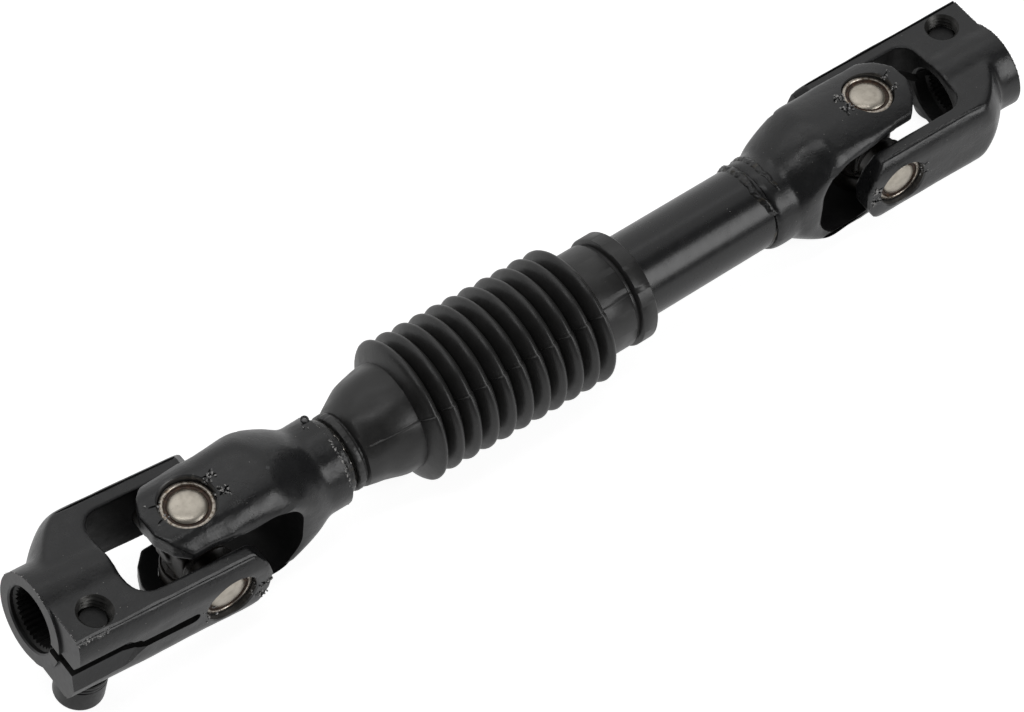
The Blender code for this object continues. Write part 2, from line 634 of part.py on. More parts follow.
def boot_profile():
    """Outer side of the boot as (radius, x) from its lip to its band."""
    points = [(LIP_RADIUS, BOOT_START), (LIP_RADIUS, BOOT_START + LIP_LENGTH)]
    bell_start = BOOT_START + LIP_LENGTH
    bell_end = FIRST_RIDGE - RIDGE_PITCH / 2
    bell_root = LIP_RADIUS + BELL_STEP
    count = 4
    for i in range(1, count + 1):
        share = i / count
        radius = bell_root + (BELL_RADIUS - bell_root) * math.sin(share * math.pi / 2)
        points.append((radius, bell_start + (bell_end - bell_start) * share))
    for i in range(RIDGE_COUNT):
        centre = FIRST_RIDGE + RIDGE_PITCH * i
        crest = FIRST_RIDGE_RADIUS if i == 0 else RIDGE_RADIUS
        half = RIDGE_PITCH * RIDGE_FLAT
        points += [(crest, centre - half), (crest, centre + half)]
        if i < RIDGE_COUNT - 1:
            points.append((VALLEY_RADIUS, centre + RIDGE_PITCH / 2))
    groove_start = CUFF_START + CUFF_LENGTH
    band_start = groove_start + CUFF_GROOVE_WIDTH
    slope = CUFF_GROOVE_WIDTH / 4
    floor = CUFF_RADIUS - CUFF_GROOVE
    points += [(CUFF_RADIUS, CUFF_START), (CUFF_RADIUS, groove_start),
               (floor, groove_start + slope), (floor, band_start - slope),
               (BAND_RADIUS, band_start), (BAND_RADIUS, band_start + BAND_LENGTH)]
    return points


def boot(pivot):
    """Rubber bellows boot, gripping the shaft's collar and the tube."""
    outer = boot_profile()
    end = outer[-1][1]
    collar_bore = COLLAR_RADIUS + GAP
    tube_bore = TUBE_RADIUS + GAP
    inner = [(collar_bore, BOOT_START), (collar_bore, BOOT_START + LIP_LENGTH + BOOT_STEP),
             (BOOT_INNER, FIRST_RIDGE), (BOOT_INNER, CUFF_START - BOOT_STEP),
             (tube_bore, CUFF_START + BOOT_STEP), (tube_bore, end)]
    profile = list(reversed(outer)) + inner
    turned_part("bellows_boot", profile, pivot, "black_rubber", steps=DRILL_STEPS)


def place_on_floor(frame):
    """Moves the whole model so that its lowest point and its middle lie at the origin."""
    bpy.context.view_layer.update()
    depsgraph = bpy.context.evaluated_depsgraph_get()
    corners = []
    for part in PARTS.objects:
        if part.type != "MESH":
            continue
        solid = part.evaluated_get(depsgraph)
        corners += [part.matrix_world @ vertex.co for vertex in solid.data.vertices]
    low = Vector([min(corner[i] for corner in corners) for i in range(3)])
    high = Vector([max(corner[i] for corner in corners) for i in range(3)])
    frame.location = (-(low.x + high.x) / 2, -(low.y + high.y) / 2, -low.z)


def smooth_round_faces():
    for part in PARTS.objects:
        if part.type == "MESH" and part.data.polygons:
            part.data.shade_smooth()
            part.data.set_sharp_from_angle(angle=math.radians(35))


axis = empty("shaft_axis", None)
lower_frame = empty("lower_joint", axis)
upper_frame = empty("upper_joint", empty("upper_phase", axis, (JOINT_DISTANCE, 0, 0), (PHASE_ANGLE, 0, 0)),
                    rotation=(0, 0, math.pi))
lower_neck = universal_joint("lower", lower_frame, LOWER_SWING, LOWER_TILT, LOWER_NECK_END)
upper_neck = universal_joint("upper", upper_frame, UPPER_SWING, UPPER_TILT, UPPER_NECK_END)
sliding_shaft(lower_frame, lower_neck)
tube_assembly(axis, upper_neck, upper_frame)
boot(axis)
smooth_round_faces()
place_on_floor(axis)
bpy.context.view_layer.update()
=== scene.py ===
"""Looks of the intermediate steering shaft: forged and painted yokes, staked bearing cups,
rubber bellows boot, tube, welds and pinch bolts.

Lengths are millimetres in the frame of one universal joint: the inner yoke's neck points to
+X and the clamp yoke's barrel to -X. Each finished mesh is then placed in metres where the
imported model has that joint.
"""

import json
import math
import random

import bmesh
import bpy
import numpy as np
from mathutils import Matrix, Vector, noise


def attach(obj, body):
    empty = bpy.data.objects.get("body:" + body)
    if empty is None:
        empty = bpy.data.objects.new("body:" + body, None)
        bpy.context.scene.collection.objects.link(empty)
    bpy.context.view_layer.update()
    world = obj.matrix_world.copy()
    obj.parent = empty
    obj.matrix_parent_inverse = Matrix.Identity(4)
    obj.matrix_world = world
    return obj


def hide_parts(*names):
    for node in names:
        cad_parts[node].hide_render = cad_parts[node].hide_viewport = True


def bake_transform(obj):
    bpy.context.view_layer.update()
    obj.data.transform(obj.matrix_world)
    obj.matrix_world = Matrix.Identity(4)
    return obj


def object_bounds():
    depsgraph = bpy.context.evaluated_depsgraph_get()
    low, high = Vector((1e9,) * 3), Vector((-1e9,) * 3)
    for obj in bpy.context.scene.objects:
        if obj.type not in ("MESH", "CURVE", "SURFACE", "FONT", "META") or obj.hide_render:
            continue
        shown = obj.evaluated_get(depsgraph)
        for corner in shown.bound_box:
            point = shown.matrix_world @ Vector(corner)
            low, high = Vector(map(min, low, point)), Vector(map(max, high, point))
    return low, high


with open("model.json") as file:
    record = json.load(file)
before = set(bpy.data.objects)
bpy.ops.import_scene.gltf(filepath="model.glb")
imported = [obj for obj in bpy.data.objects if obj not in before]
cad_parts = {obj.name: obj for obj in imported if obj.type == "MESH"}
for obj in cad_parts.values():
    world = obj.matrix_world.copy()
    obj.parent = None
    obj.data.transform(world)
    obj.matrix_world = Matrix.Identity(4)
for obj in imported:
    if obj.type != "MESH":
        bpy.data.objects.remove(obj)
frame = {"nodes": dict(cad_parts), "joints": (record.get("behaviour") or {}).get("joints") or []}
CAD_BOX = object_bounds()
MM = 0.001

# Camera of the photograph, from the lower joint's centre
CAMERA_PLACE = Vector((-0.24225, -0.35099, 0.72429))
CAMERA_TURN = Vector((2.4522, -0.8087, 0.3673))
FOCAL_PIXELS = 3013.1
PHOTO_WIDTH = 1024
SENSOR_WIDTH = 36.0

# Ears and bearings
EAR_REACH = 22.0
EAR_INNER = 15.0
EAR_FLAT = 6.5
CUP_RADIUS = 8.0
CUP_FACE = 20.0
CUP_LENGTH = 10.4
CUP_WALL = 1.1
CUP_FLOOR = 1.9
DISC_RADIUS = 5.65
GROOVE_WIDTH = 1.0
EAR_HOLE = 8.25
HOLE_EDGE = 0.5

# Inner yokes
WINDOW_END = 29.0
WINDOW_ROUND = 11.0
WINDOW_SIDE = 15.1
SHOULDER_END = 38.6
SHOULDER_LENGTH = 19.0
SHOULDER_RADIUS = 24.0
INNER_EDGE = 19.3
CROWN_RADIUS = 24.0
COLLAR_RADIUS = 14.4

# Clamp yoke
BARREL_RADIUS = 14.1
BARREL_END = 52.0
BLOCK_STEP = 0.8
CLAMP_HALF = 12.9
CLAMP_WINDOW_END = 28.5
EAR_CORNER = 19.6
CLAMP_EDGE = 21.2
SPLINE_RADIUS = 9.5
SPLINE_DEPTH = 0.55
SPLINE_TEETH = 36
BORE_CHAMFER = 0.45
TEETH_START = 1.5
SLOT_WIDTH = 3.4
SLOT_END = 30.0
RELIEF_WIDTH = 3.6
RELIEF_END = 11.0
BOLT_X = 41.3
BOLT_Y = 12.9
BOLT_PLACE = (-BOLT_X, -BOLT_Y, 0)
BOLT_RADIUS = 4.9
THREAD_PITCH = 1.5
THREAD_DEPTH = 0.8
THREAD_GAP = 0.3
THREAD_STEPS = 72
TIP_DEPTH = 3.9
WASHER_TOP = -13.2
WASHER_RADIUS = 7.5
WASHER_THICKNESS = 1.4
HEAD_RADIUS = 7.3
HEAD_HEIGHT = 10.4
HEAD_ROUND = 1.8
SOCKET_FLATS = 8.0
SOCKET_DEPTH = 5.0

# Shaft, tube and boot
TUBE_RADIUS = 13.6
TUBE_BORE = 11.3
NECK_RADIUS = 14.1
NECK_END = 46.6
FLANGE_RADIUS = 12.0
FLANGE_END = 49.4
LIP_RADIUS = 12.2
LIP_LENGTH = 3.8
BELL_RADIUS = 17.0
FIRST_RIDGE = 74.6
FIRST_RIDGE_RADIUS = 22.4
RIDGE_COUNT = 11
RIDGE_RADIUS = 22.0
VALLEY_RADIUS = 17.4
CUFF_START = 138.1
CUFF_LENGTH = 10.2
CUFF_RADIUS = 16.95
CUFF_GROOVE = 0.9
CUFF_GROOVE_WIDTH = 1.6
BAND_RADIUS = 17.9
BAND_LENGTH = 5.6
BOOT_WALL = 1.4
BOOT_START = 50.4

# Share of the floor's glow that the part receives
FLOOR_BOUNCE = 0.62

# Fineness of the meshes
FORGING_VOXEL = 0.45
ROUND_STEPS = 96
BOOT_STEPS = 288

# A lathe along X starts at this angle round the shaft, where 0 degrees is +Y and 90 is +Z
LATHE_START = 270

# Lean of the boot: the shift of its middle and the tilt of its ridges along it, both towards
# one angle. The line where the mould's halves met runs along another.
BOOT_LEAN = ((54, 60, 74, 112, 136, 156), (0, 1.3, 1.15, 0.1, -0.35, -0.35))
BOOT_TILT = ((54, 70, 76, 110), (0, 0.5, 0.95, 0))
LEAN_ANGLE = math.radians(28 - LATHE_START)
PARTING_ANGLE = math.radians(130 - LATHE_START)

# Rounds and stretch of X of the smoothing that only the inner yokes' outside gets
OUTER_SMOOTHING = {"lower": (240, (6, 42)), "upper": (100, (10, 60))}
FADE_LENGTH = 5

# Stake marks: how far out they lie, and the turns of the crossed and of the plain ones
STAKE_OUT = 1.06
CROSS_TURN = 0.6
TICK_TURN = 0.15

# Each weld bead round the shaft: (degrees, x, half width, height)
TUBE_BEAD = [
    (0, 205.6, 1.2, 0.6), (27, 205.2, 1.6, 0.8), (71, 203.9, 1.5, 0.8), (100, 203.3, 1.4, 0.75),
    (113, 203.7, 1.4, 0.8), (136, 205.6, 1.5, 0.8), (147, 207.6, 1.3, 0.7),
    (156, 207.4, 0.8, 0.25), (180, 205.4, 0.8, 0.15), (270, 205.2, 1.0, 0.3),
    (330, 205.3, 1.2, 0.5)]
YOKE_BEAD = [
    (0, 211.2, 1.2, 0.5), (27, 211.0, 1.3, 0.55), (86, 209.6, 1.1, 0.55), (102, 209.9, 1.0, 0.5),
    (133, 210.7, 1.2, 0.6), (147, 209.9, 1.1, 0.5), (156, 210.0, 0.8, 0.2),
    (180, 210.2, 0.8, 0.1), (270, 210.5, 1.0, 0.3), (330, 211.0, 1.2, 0.45)]

INNER_BODY = {"lower": "sliding_end", "upper": "tube"}
CUP_SIDES = {"top": "Z", "bottom": "-Z", "front": "-Y", "back": "Y"}
JOINTS = {joint["name"]: joint for joint in frame["joints"]}
AXES = {
    "X": Matrix.Rotation(math.pi / 2, 4, "Y"),
    "Y": Matrix.Rotation(-math.pi / 2, 4, "X"),
    "-Y": Matrix.Rotation(math.pi / 2, 4, "X"),
    "Z": Matrix.Identity(4),
    "-Z": Matrix.Rotation(math.pi, 4, "X"),
}


def joint_frame(x_axis, y_axis, z_axis, centre):
    """Matrix that takes millimetres in a joint's frame to metres in the model's."""
    turned = Matrix((x_axis, y_axis, z_axis)).transposed().to_4x4()
    return Matrix.Translation(centre) @ turned @ Matrix.Scale(MM, 4)


def end_frames(end):
    """Frames of one end's inner yoke, cross and clamp yoke, from the joints' own axes."""
    swing = JOINTS[end + "_cross_swing"]
    centre = Vector(swing["pos_m"])
    upright = Vector(swing["axis"]).normalized()
    crosswise = Vector(JOINTS[end + "_yoke_tilt"]["axis"]).normalized()
    bolt_up = -Vector(JOINTS[end + "_bolt_turn"]["axis"]).normalized()
    along = Vector(JOINTS["telescope"]["axis"]).normalized()
    if end == "upper":
        along = -along
    inner = joint_frame(along, upright.cross(along), upright, centre)
    cross = joint_frame(crosswise.cross(upright), crosswise, upright, centre)
    clamp = joint_frame(crosswise.cross(bolt_up), crosswise, bolt_up, centre)
    return inner, cross, clamp


FRAMES = {end: end_frames(end) for end in ("lower", "upper")}
SHAFT_FRAME = FRAMES["lower"][0]
JOINT_DISTANCE = (FRAMES["upper"][0].translation - SHAFT_FRAME.translation).length / MM


# Materials

class Finish:
    """One procedural material and the short calls that build its nodes."""

    def __init__(self, name, colour, roughness, metallic=0.0):
        self.material = bpy.data.materials.new(name)
        self.material.use_nodes = True
        self.tree = self.material.node_tree
        self.shader = self.tree.nodes["Principled BSDF"]
        self.shader.inputs["Base Color"].default_value = (*colour, 1.0)
        self.shader.inputs["Roughness"].default_value = roughness
        self.shader.inputs["Metallic"].default_value = metallic
        self.material.diffuse_color = (*colour, 1.0)
        self.place = self.node("TexCoord").outputs["Object"]
        self.normal = None

    def link(self, output, socket):
        self.tree.links.new(output, socket)

    def node(self, kind, **values):
        """New node with values for its sockets, whose names have _ for a space."""
        node = self.tree.nodes.new("ShaderNode" + kind)
        for socket, value in values.items():
            node.inputs[socket.replace("_", " ")].default_value = value
        return node

    def noise(self, size, detail, roughness=0.5):
        """Cloudy pattern whose spots are about size millimetres."""
        node = self.node("TexNoise", Scale=1 / (size * MM), Detail=detail, Roughness=roughness)
        self.link(self.place, node.inputs["Vector"])
        return node.outputs["Fac"]

    def cells(self, size):
        """Distance to the nearest of points about size millimetres apart."""
        node = self.node("TexVoronoi", Scale=1 / (size * MM))
        self.link(self.place, node.inputs["Vector"])
        return node.outputs["Distance"]

    def ramp(self, value, *stops):
        """Value through (place, brightness) stops."""
        node = self.node("ValToRGB")
        elements = node.color_ramp.elements
        while len(elements) < len(stops):
            elements.new(0.5)
        for element, (place, bright) in zip(elements, stops):
            element.position = place
            element.color = (bright, bright, bright, 1.0)
        self.link(value, node.inputs["Fac"])
        return node.outputs["Color"]

    def edges(self, low, high):
        """1 on sharp outer edges and 0 elsewhere."""
        pointiness = self.node("NewGeometry").outputs["Pointiness"]
        return self.ramp(pointiness, (low, 0.0), (high, 1.0))

    def multiply(self, first, second):
        node = self.node("Math")
        node.operation = "MULTIPLY"
        self.link(first, node.inputs[0])
        self.link(second, node.inputs[1])
        return node.outputs[0]

    def tint(self, share, colour):
        """Mixes a colour over the base colour by share."""
        node = self.node("Mix")
        node.data_type = "RGBA"
        base = self.shader.inputs["Base Color"]
        if base.is_linked:
            self.link(base.links[0].from_socket, node.inputs[6])
        else:
            node.inputs[6].default_value = base.default_value
        node.inputs[7].default_value = (*colour, 1.0)
        self.link(share, node.inputs[0])
        self.link(node.outputs[2], base)

    def gloss(self, share, low, high):
        """Roughness from low to high with share."""
        node = self.node("MapRange", To_Min=low, To_Max=high)
        self.link(share, node.inputs["Value"])
        self.link(node.outputs["Result"], self.shader.inputs["Roughness"])

    def bump(self, height, depth):
        """Adds relief of about depth millimetres."""
        node = self.node("Bump", Distance=depth * MM, Strength=1.0)
        self.link(height, node.inputs["Height"])
        if self.normal is not None:
            self.link(self.normal, node.inputs["Normal"])
        self.normal = node.outputs["Normal"]
        self.link(self.normal, self.shader.inputs["Normal"])


def material(name, colour, roughness, metallic, clouds, gloss, *bumps, edges=None, specks=None,
             specular=None):
    """A base colour under clouds (noise, from, to, share, colour), worn edges (from, to,
    colour) and specks (size, from, to, share, colour). Gloss gives the roughness as (noise,
    low, high), and each bump is (noise, depth). Noise is (size, detail, its roughness)."""
    finish = Finish(name, colour, roughness, metallic)
    if specular is not None:
        finish.shader.inputs["Specular IOR Level"].default_value = specular
    pattern, low, high, share, tone = clouds
    finish.tint(finish.ramp(finish.noise(*pattern), (low, 0.0), (high, share)), tone)
    if edges:
        low, high, tone = edges
        finish.tint(finish.edges(low, high), tone)
    if specks:
        size, low, high, share, tone = specks
        finish.tint(finish.ramp(finish.cells(size), (low, share), (high, 0.0)), tone)
    if gloss:
        pattern, low, high = gloss
        finish.gloss(finish.noise(*pattern), low, high)
    for pattern, depth in bumps:
        finish.bump(finish.noise(*pattern), depth)
    return finish.material


FORGED = material(
    "forged_black_paint", (0.008, 0.0082, 0.0088), 0.3, 0,
    ((9, 4), 0.42, 0.75, 0.7, (0.013, 0.0132, 0.014)), ((3.5, 6, 0.65), 0.15, 0.46),
    ((4.5, 4, 0.6), 0.16), ((0.7, 3), 0.03), edges=(0.53, 0.6, (0.045, 0.046, 0.048)),
    specks=(2.9, 0.0, 0.06, 1.0, (0.3, 0.29, 0.27)))
# Darker, duller paint on the faces inside the yokes' windows: painted shade, where the windows
# lie in shade
INSIDE_SHADE = material(
    "inside_painted_shade", (0.006, 0.006, 0.0062), 0.5, 0,
    ((3, 4), 0.5, 0.75, 0.6, (0.011, 0.01, 0.009)), ((3, 4), 0.4, 0.65),
    ((1.5, 3), 0.07), specular=0.22)
# Torn paint and metal of the burrs and stake marks, made lighter than the paint also as a painted
# highlight on the small lumps
FLAKES_AND_GLINT = material(
    "torn_paint_and_painted_glint", (0.1, 0.1, 0.1), 0.24, 0,
    ((0.7, 3), 0.48, 0.6, 0.9, (0.42, 0.41, 0.4)), ((0.6, 3), 0.14, 0.4), ((0.3, 3), 0.05))
# Half bare steel of the threads in the clamps' holes
THREADS = material(
    "thread_steel", (0.05, 0.049, 0.047), 0.34, 0.7,
    ((1.6, 4), 0.45, 0.65, 0.8, (0.03, 0.029, 0.027)), ((0.8, 3), 0.26, 0.5), ((0.5, 3), 0.02))
# Thin paint over faces that were cut after forging
MACHINED = material(
    "machined_black_paint", (0.03, 0.0305, 0.0315), 0.32, 0,
    ((2.5, 5), 0.45, 0.7, 0.7, (0.044, 0.044, 0.045)), ((1.5, 4), 0.26, 0.45),
    ((1.2, 4, 0.6), 0.04), edges=(0.53, 0.6, (0.07, 0.068, 0.064)))
# Near-black, dull inside of the splined bores: painted shade deep in the bores
BORE_SHADE = material(
    "bore_painted_shade", (0.003, 0.003, 0.003), 0.5, 0,
    ((1.5, 4), 0.5, 0.7, 0.6, (0.012, 0.0105, 0.009)), ((1.0, 3), 0.4, 0.65), ((0.5, 3), 0.02))
# Blackened steel of the bolts and washers
BLACK = material(
    "black_oxide", (0.006, 0.006, 0.0063), 0.34, 0,
    ((2.2, 5), 0.42, 0.7, 0.7, (0.013, 0.0127, 0.0124)), ((1.0, 4), 0.26, 0.5),
    ((0.6, 3), 0.02), specular=0.3)
TUBE_PAINT = material(
    "tube_black_paint", (0.0085, 0.0087, 0.0092), 0.24, 0,
    ((14, 3), 0.4, 0.75, 0.5, (0.013, 0.0132, 0.014)), ((3, 5, 0.6), 0.17, 0.34),
    ((3.0, 4, 0.6), 0.03), ((0.6, 2), 0.006), specks=(3.1, 0.0, 0.045, 0.7, (0.2, 0.19, 0.18)))
# Satin case of a bearing cup, with dark pits
CUP_CASE = material(
    "cup_steel", (0.51, 0.47, 0.405), 0.35, 1.0,
    ((2.4, 4), 0.42, 0.7, 0.7, (0.36, 0.325, 0.275)), ((0.8, 3), 0.28, 0.46),
    ((0.5, 3), 0.02), specks=(0.8, 0.04, 0.13, 0.8, (0.05, 0.04, 0.035)))
CUP_GROOVE = material(
    "cup_groove_brown", (0.045, 0.028, 0.02), 0.6, 0.2,
    ((1.1, 4), 0.45, 0.7, 0.9, (0.11, 0.06, 0.035)), None, ((0.5, 3), 0.05))
# Turned rim of a cup, with brown film left between its bright lines
CUP_RIM = material(
    "cup_rim_steel", (0.46, 0.42, 0.37), 0.3, 1.0,
    ((0.9, 5), 0.46, 0.66, 0.9, (0.16, 0.12, 0.085)), ((0.6, 3), 0.22, 0.45), ((0.4, 3), 0.02))
BARE = material(
    "ground_steel", (0.5, 0.48, 0.45), 0.25, 1.0,
    ((3, 5), 0.45, 0.7, 0.6, (0.3, 0.26, 0.22)), ((1.0, 4), 0.18, 0.4), ((0.4, 2), 0.01))
# Oiled dark steel of the crosses
DARK = material(
    "dark_oiled_steel", (0.013, 0.0115, 0.01), 0.38, 0.3,
    ((2.5, 5), 0.42, 0.7, 0.8, (0.03, 0.024, 0.017)), ((1.2, 4), 0.24, 0.5), ((0.6, 3), 0.03))
WELD = material(
    "painted_weld", (0.009, 0.009, 0.0092), 0.3, 0,
    ((3.2, 4), 0.56, 0.7, 0.7, (0.05, 0.038, 0.02)), ((0.8, 4), 0.16, 0.45),
    ((0.7, 4, 0.6), 0.09), edges=(0.54, 0.64, (0.06, 0.057, 0.05)))
RUBBER = material(
    "boot_rubber", (0.017, 0.0168, 0.0165), 0.42, 0,
    ((6, 5), 0.45, 0.8, 0.7, (0.028, 0.0275, 0.027)), ((3.0, 5, 0.6), 0.26, 0.5),
    ((3.5, 4, 0.6), 0.08), ((0.5, 2), 0.012), specks=(2.4, 0.0, 0.05, 0.7, (0.25, 0.24, 0.22)))
SEAL = material(
    "seal_rubber", (0.012, 0.0095, 0.008), 0.4, 0,
    ((1.5, 4), 0.5, 0.7, 0.6, (0.035, 0.026, 0.017)), ((1.0, 3), 0.3, 0.55), ((0.4, 2), 0.02))
NYLON = material(
    "sleeve_nylon", (0.72, 0.69, 0.58), 0.42, 0,
    ((4, 3), 0.4, 0.7, 0.4, (0.6, 0.55, 0.42)), ((1.0, 3), 0.35, 0.5), ((0.5, 2), 0.01))


# Mesh helpers

def polar(radius, angle):
    return radius * math.cos(angle), radius * math.sin(angle)


def moved(points, right, up):
    return [(x + right, y + up) for x, y in points]


def new_piece(name, mesh, materials=()):
    piece = bpy.data.objects.new(name, mesh)
    bpy.context.scene.collection.objects.link(piece)
    for material in materials:
        mesh.materials.append(material)
    return piece


def settle(piece):
    """Applies the piece's modifiers to its mesh."""
    bpy.context.view_layer.update()
    depsgraph = bpy.context.evaluated_depsgraph_get()
    mesh = bpy.data.meshes.new_from_object(piece.evaluated_get(depsgraph))
    piece.modifiers.clear()
    old = piece.data
    piece.data = mesh
    bpy.data.meshes.remove(old)


def combine(piece, mesh, operation="DIFFERENCE"):
    """Cuts or joins a closed mesh and removes it."""
    tool = bpy.data.objects.new("tool", mesh)
    bpy.context.scene.collection.objects.link(tool)
    boolean = piece.modifiers.new("boolean", "BOOLEAN")
    boolean.operation = operation
    boolean.solver = "MANIFOLD"
    boolean.object = tool
    settle(piece)
    bpy.data.objects.remove(tool, do_unlink=True)
    bpy.data.meshes.remove(mesh)


def intersection(first, second):
    """Mesh of what two closed meshes share."""
    piece = new_piece("common", first)
    combine(piece, second, "INTERSECT")
    mesh = piece.data
    bpy.data.objects.remove(piece, do_unlink=True)
    return mesh


def close_seams(mesh, dist):
    """Joins points that lie together and turns the faces outwards."""
    solid = bmesh.new()
    solid.from_mesh(mesh)
    bmesh.ops.remove_doubles(solid, verts=solid.verts, dist=dist)
    bmesh.ops.recalc_face_normals(solid, faces=solid.faces)
    solid.to_mesh(mesh)
    solid.free()


def closed_mesh(name, points, faces, slots, matrix=Matrix()):
    """Mesh with its points moved by matrix. Slots gives the material of each face."""
    mesh = bpy.data.meshes.new(name)
    mesh.from_pydata([matrix @ Vector(point) for point in points], [], faces)
    mesh.polygons.foreach_set("material_index", slots)
    close_seams(mesh, 0.0001)
    return mesh


def lathe(name, profile, along="Z", steps=ROUND_STEPS, centre=(0, 0, 0), slot=0, slots=None,
          shift=None):
    """Turned mesh from (radius, height) points. slots gives each stretch's material, and
    shift(angle, radius, height) moves a point by the (radius, height) that it returns."""
    count = len(profile)
    stretches = count if profile[0][0] > 0 else count - 1
    points = []
    faces = []
    for i in range(steps):
        angle = 2 * math.pi * i / steps
        here = i * count
        there = (i + 1) % steps * count
        for radius, height in profile:
            if shift is not None and radius > 0:
                out, along_axis = shift(angle, radius, height)
                radius, height = radius + out, height + along_axis
            points.append((*polar(radius, angle), height))
        for k in range(stretches):
            n = (k + 1) % count
            faces.append((here + k, there + k, there + n, here + n))
    face_slots = (slots or [slot] * stretches) * steps
    return closed_mesh(name, points, faces, face_slots, Matrix.Translation(centre) @ AXES[along])


def cylinder(radius, low, high, along="Z", steps=ROUND_STEPS, centre=(0, 0, 0), slot=0):
    profile = [(0, low), (radius, low), (radius, high), (0, high)]
    return lathe("cylinder", profile, along, steps, centre, slot)


def prism(name, outline, low, high, along="Z", slot=0):
    """Mesh of a flat outline from low to high along X, Y or Z. Its own two axes are the
    next two in the order X, Y, Z, or X and Z along Y for ZX."""
    order = {"X": (2, 0, 1), "Y": (1, 2, 0), "Z": (0, 1, 2), "ZX": (0, 2, 1)}[along]
    points = []
    for height in (low, high):
        for u, v in outline:
            local = (u, v, height)
            points.append(tuple(local[order[i]] for i in range(3)))
    count = len(outline)
    faces = [tuple(range(count)), tuple(range(2 * count - 1, count - 1, -1))]
    for i in range(count):
        j = (i + 1) % count
        faces.append((i, j, count + j, count + i))
    return closed_mesh(name, points, faces, [slot] * len(faces))


def box(low, high, slot=0):
    outline = [(low[0], low[1]), (high[0], low[1]), (high[0], high[1]), (low[0], high[1])]
    return prism("box", outline, low[2], high[2], slot=slot)


def mesh_of(solid, name):
    """Mesh of a bmesh, which is freed."""
    mesh = bpy.data.meshes.new(name)
    solid.to_mesh(mesh)
    solid.free()
    return mesh


def blob(centre, size, turn):
    """Small rounded lump."""
    solid = bmesh.new()
    bmesh.ops.create_icosphere(solid, subdivisions=3, radius=1.0)
    matrix = Matrix.Translation(centre) @ Matrix.Rotation(turn, 4, "Z")
    bmesh.ops.transform(solid, matrix=matrix @ Matrix.Diagonal((*size, 1.0)), verts=solid.verts)
    return mesh_of(solid, "blob")


def together(meshes):
    """One mesh of several that don't meet."""
    solid = bmesh.new()
    for mesh in meshes:
        solid.from_mesh(mesh)
        bpy.data.meshes.remove(mesh)
    return mesh_of(solid, "joined")


def crumbs(name, spots, size, seed, spread):
    """Mesh of burrs and flakes: small uneven lumps near the given places."""
    chance = random.Random(seed)
    solid = bmesh.new()
    for spot in spots:
        away = Vector([chance.uniform(-spread, spread) for _ in range(3)])
        angle = chance.uniform(0, math.pi)
        axis = Vector([chance.uniform(-1, 1) for _ in range(3)])
        scale = [size * chance.uniform(0.5, 1.5) for _ in range(3)]
        matrix = Matrix.Translation(Vector(spot) + away) @ Matrix.Rotation(angle, 4, axis)
        matrix = matrix @ Matrix.Diagonal((*scale, 1.0))
        bmesh.ops.create_icosphere(solid, subdivisions=2, radius=1.0, matrix=matrix)
    mesh = mesh_of(solid, name)
    mesh.shade_smooth()
    return mesh


def arc(centre, radius, start, end, count):
    """Points on an arc from start to end, in degrees."""
    angles = [math.radians(start + (end - start) * i / (count - 1)) for i in range(count)]
    return moved([polar(radius, angle) for angle in angles], *centre)


def soften(piece, rounds, outer_rounds=0, stretch=(0, 0), corner=None):
    """Rounds a piece's edges: an even fine mesh, a few rounds of smoothing all over, and more
    on the outside in a stretch of X. A corner (y, z) of the section stays crisp."""
    remesh = piece.modifiers.new("remesh", "REMESH")
    remesh.mode = "VOXEL"
    remesh.voxel_size = FORGING_VOXEL
    piece.modifiers.new("smooth", "SMOOTH").iterations = rounds
    settle(piece)
    if outer_rounds == 0:
        return
    mesh = piece.data
    places = np.empty(3 * len(mesh.vertices), dtype=np.float32)
    normals = np.empty_like(places)
    mesh.vertices.foreach_get("co", places)
    mesh.vertex_normals.foreach_get("vector", normals)
    places = places.reshape(-1, 3)
    radial = places * (0, 1, 1)
    radial /= np.linalg.norm(radial, axis=1, keepdims=True) + 1e-6
    share = np.clip(((normals.reshape(-1, 3) * radial).sum(axis=1) - 0.1) / 0.5, 0, 1)
    ends = np.clip((places[:, 0] - stretch[0]) / FADE_LENGTH, 0, 1)
    ends *= np.clip((stretch[1] - places[:, 0]) / FADE_LENGTH, 0, 1)
    share *= ends
    if corner:
        away = np.hypot(places[:, 1] - corner[0], np.abs(places[:, 2]) - corner[1])
        share *= np.clip((away - 1.5) / 3, 0, 1)
    outside = piece.vertex_groups.new(name="outside")
    levels = np.round(share * 10).astype(int)
    for level in range(1, 11):
        outside.add(np.nonzero(levels == level)[0].tolist(), level / 10, "REPLACE")
    smooth = piece.modifiers.new("outer_smooth", "SMOOTH")
    smooth.iterations = outer_rounds
    smooth.vertex_group = "outside"
    settle(piece)
    piece.vertex_groups.clear()


def roughen(piece, seed):
    """Uneven forged surface: moves points along their normals by two smooth noises."""
    offset = Vector((seed * 13.7, seed * 5.1, seed * 9.3))
    mesh = piece.data
    normals = [vertex.normal.copy() for vertex in mesh.vertices]
    for vertex, normal in zip(mesh.vertices, normals):
        height = 0.2 * noise.noise(vertex.co / 13 + offset)
        height += 0.08 * noise.noise(vertex.co / 5 + offset)
        vertex.co += normal * height


def paint_shade_inside(piece, slot):
    """Gives the faces that look towards the joint's centre their own material: darker, duller
    paint as painted shade.
    """
    for face in piece.data.polygons:
        towards = -Vector(face.center).normalized()
        if face.normal.dot(towards) > 0.3:
            face.material_index = slot


def smooth_shade(piece, degrees):
    piece.data.shade_smooth()
    piece.data.set_sharp_from_angle(angle=math.radians(degrees))


def put(piece, matrix, body, slot, *nodes):
    """Places a finished piece, in metres and within the model's box, on its body, in place
    of its CAD nodes."""
    mesh = piece.data
    mesh.transform(matrix)
    places = np.empty(3 * len(mesh.vertices), dtype=np.float32)
    mesh.vertices.foreach_get("co", places)
    inside = np.clip(places.reshape(-1, 3), tuple(CAD_BOX[0]), tuple(CAD_BOX[1]))
    mesh.vertices.foreach_set("co", inside.astype(np.float32).ravel())
    mesh.update()
    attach(piece, body)
    if nodes:
        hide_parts(*nodes)


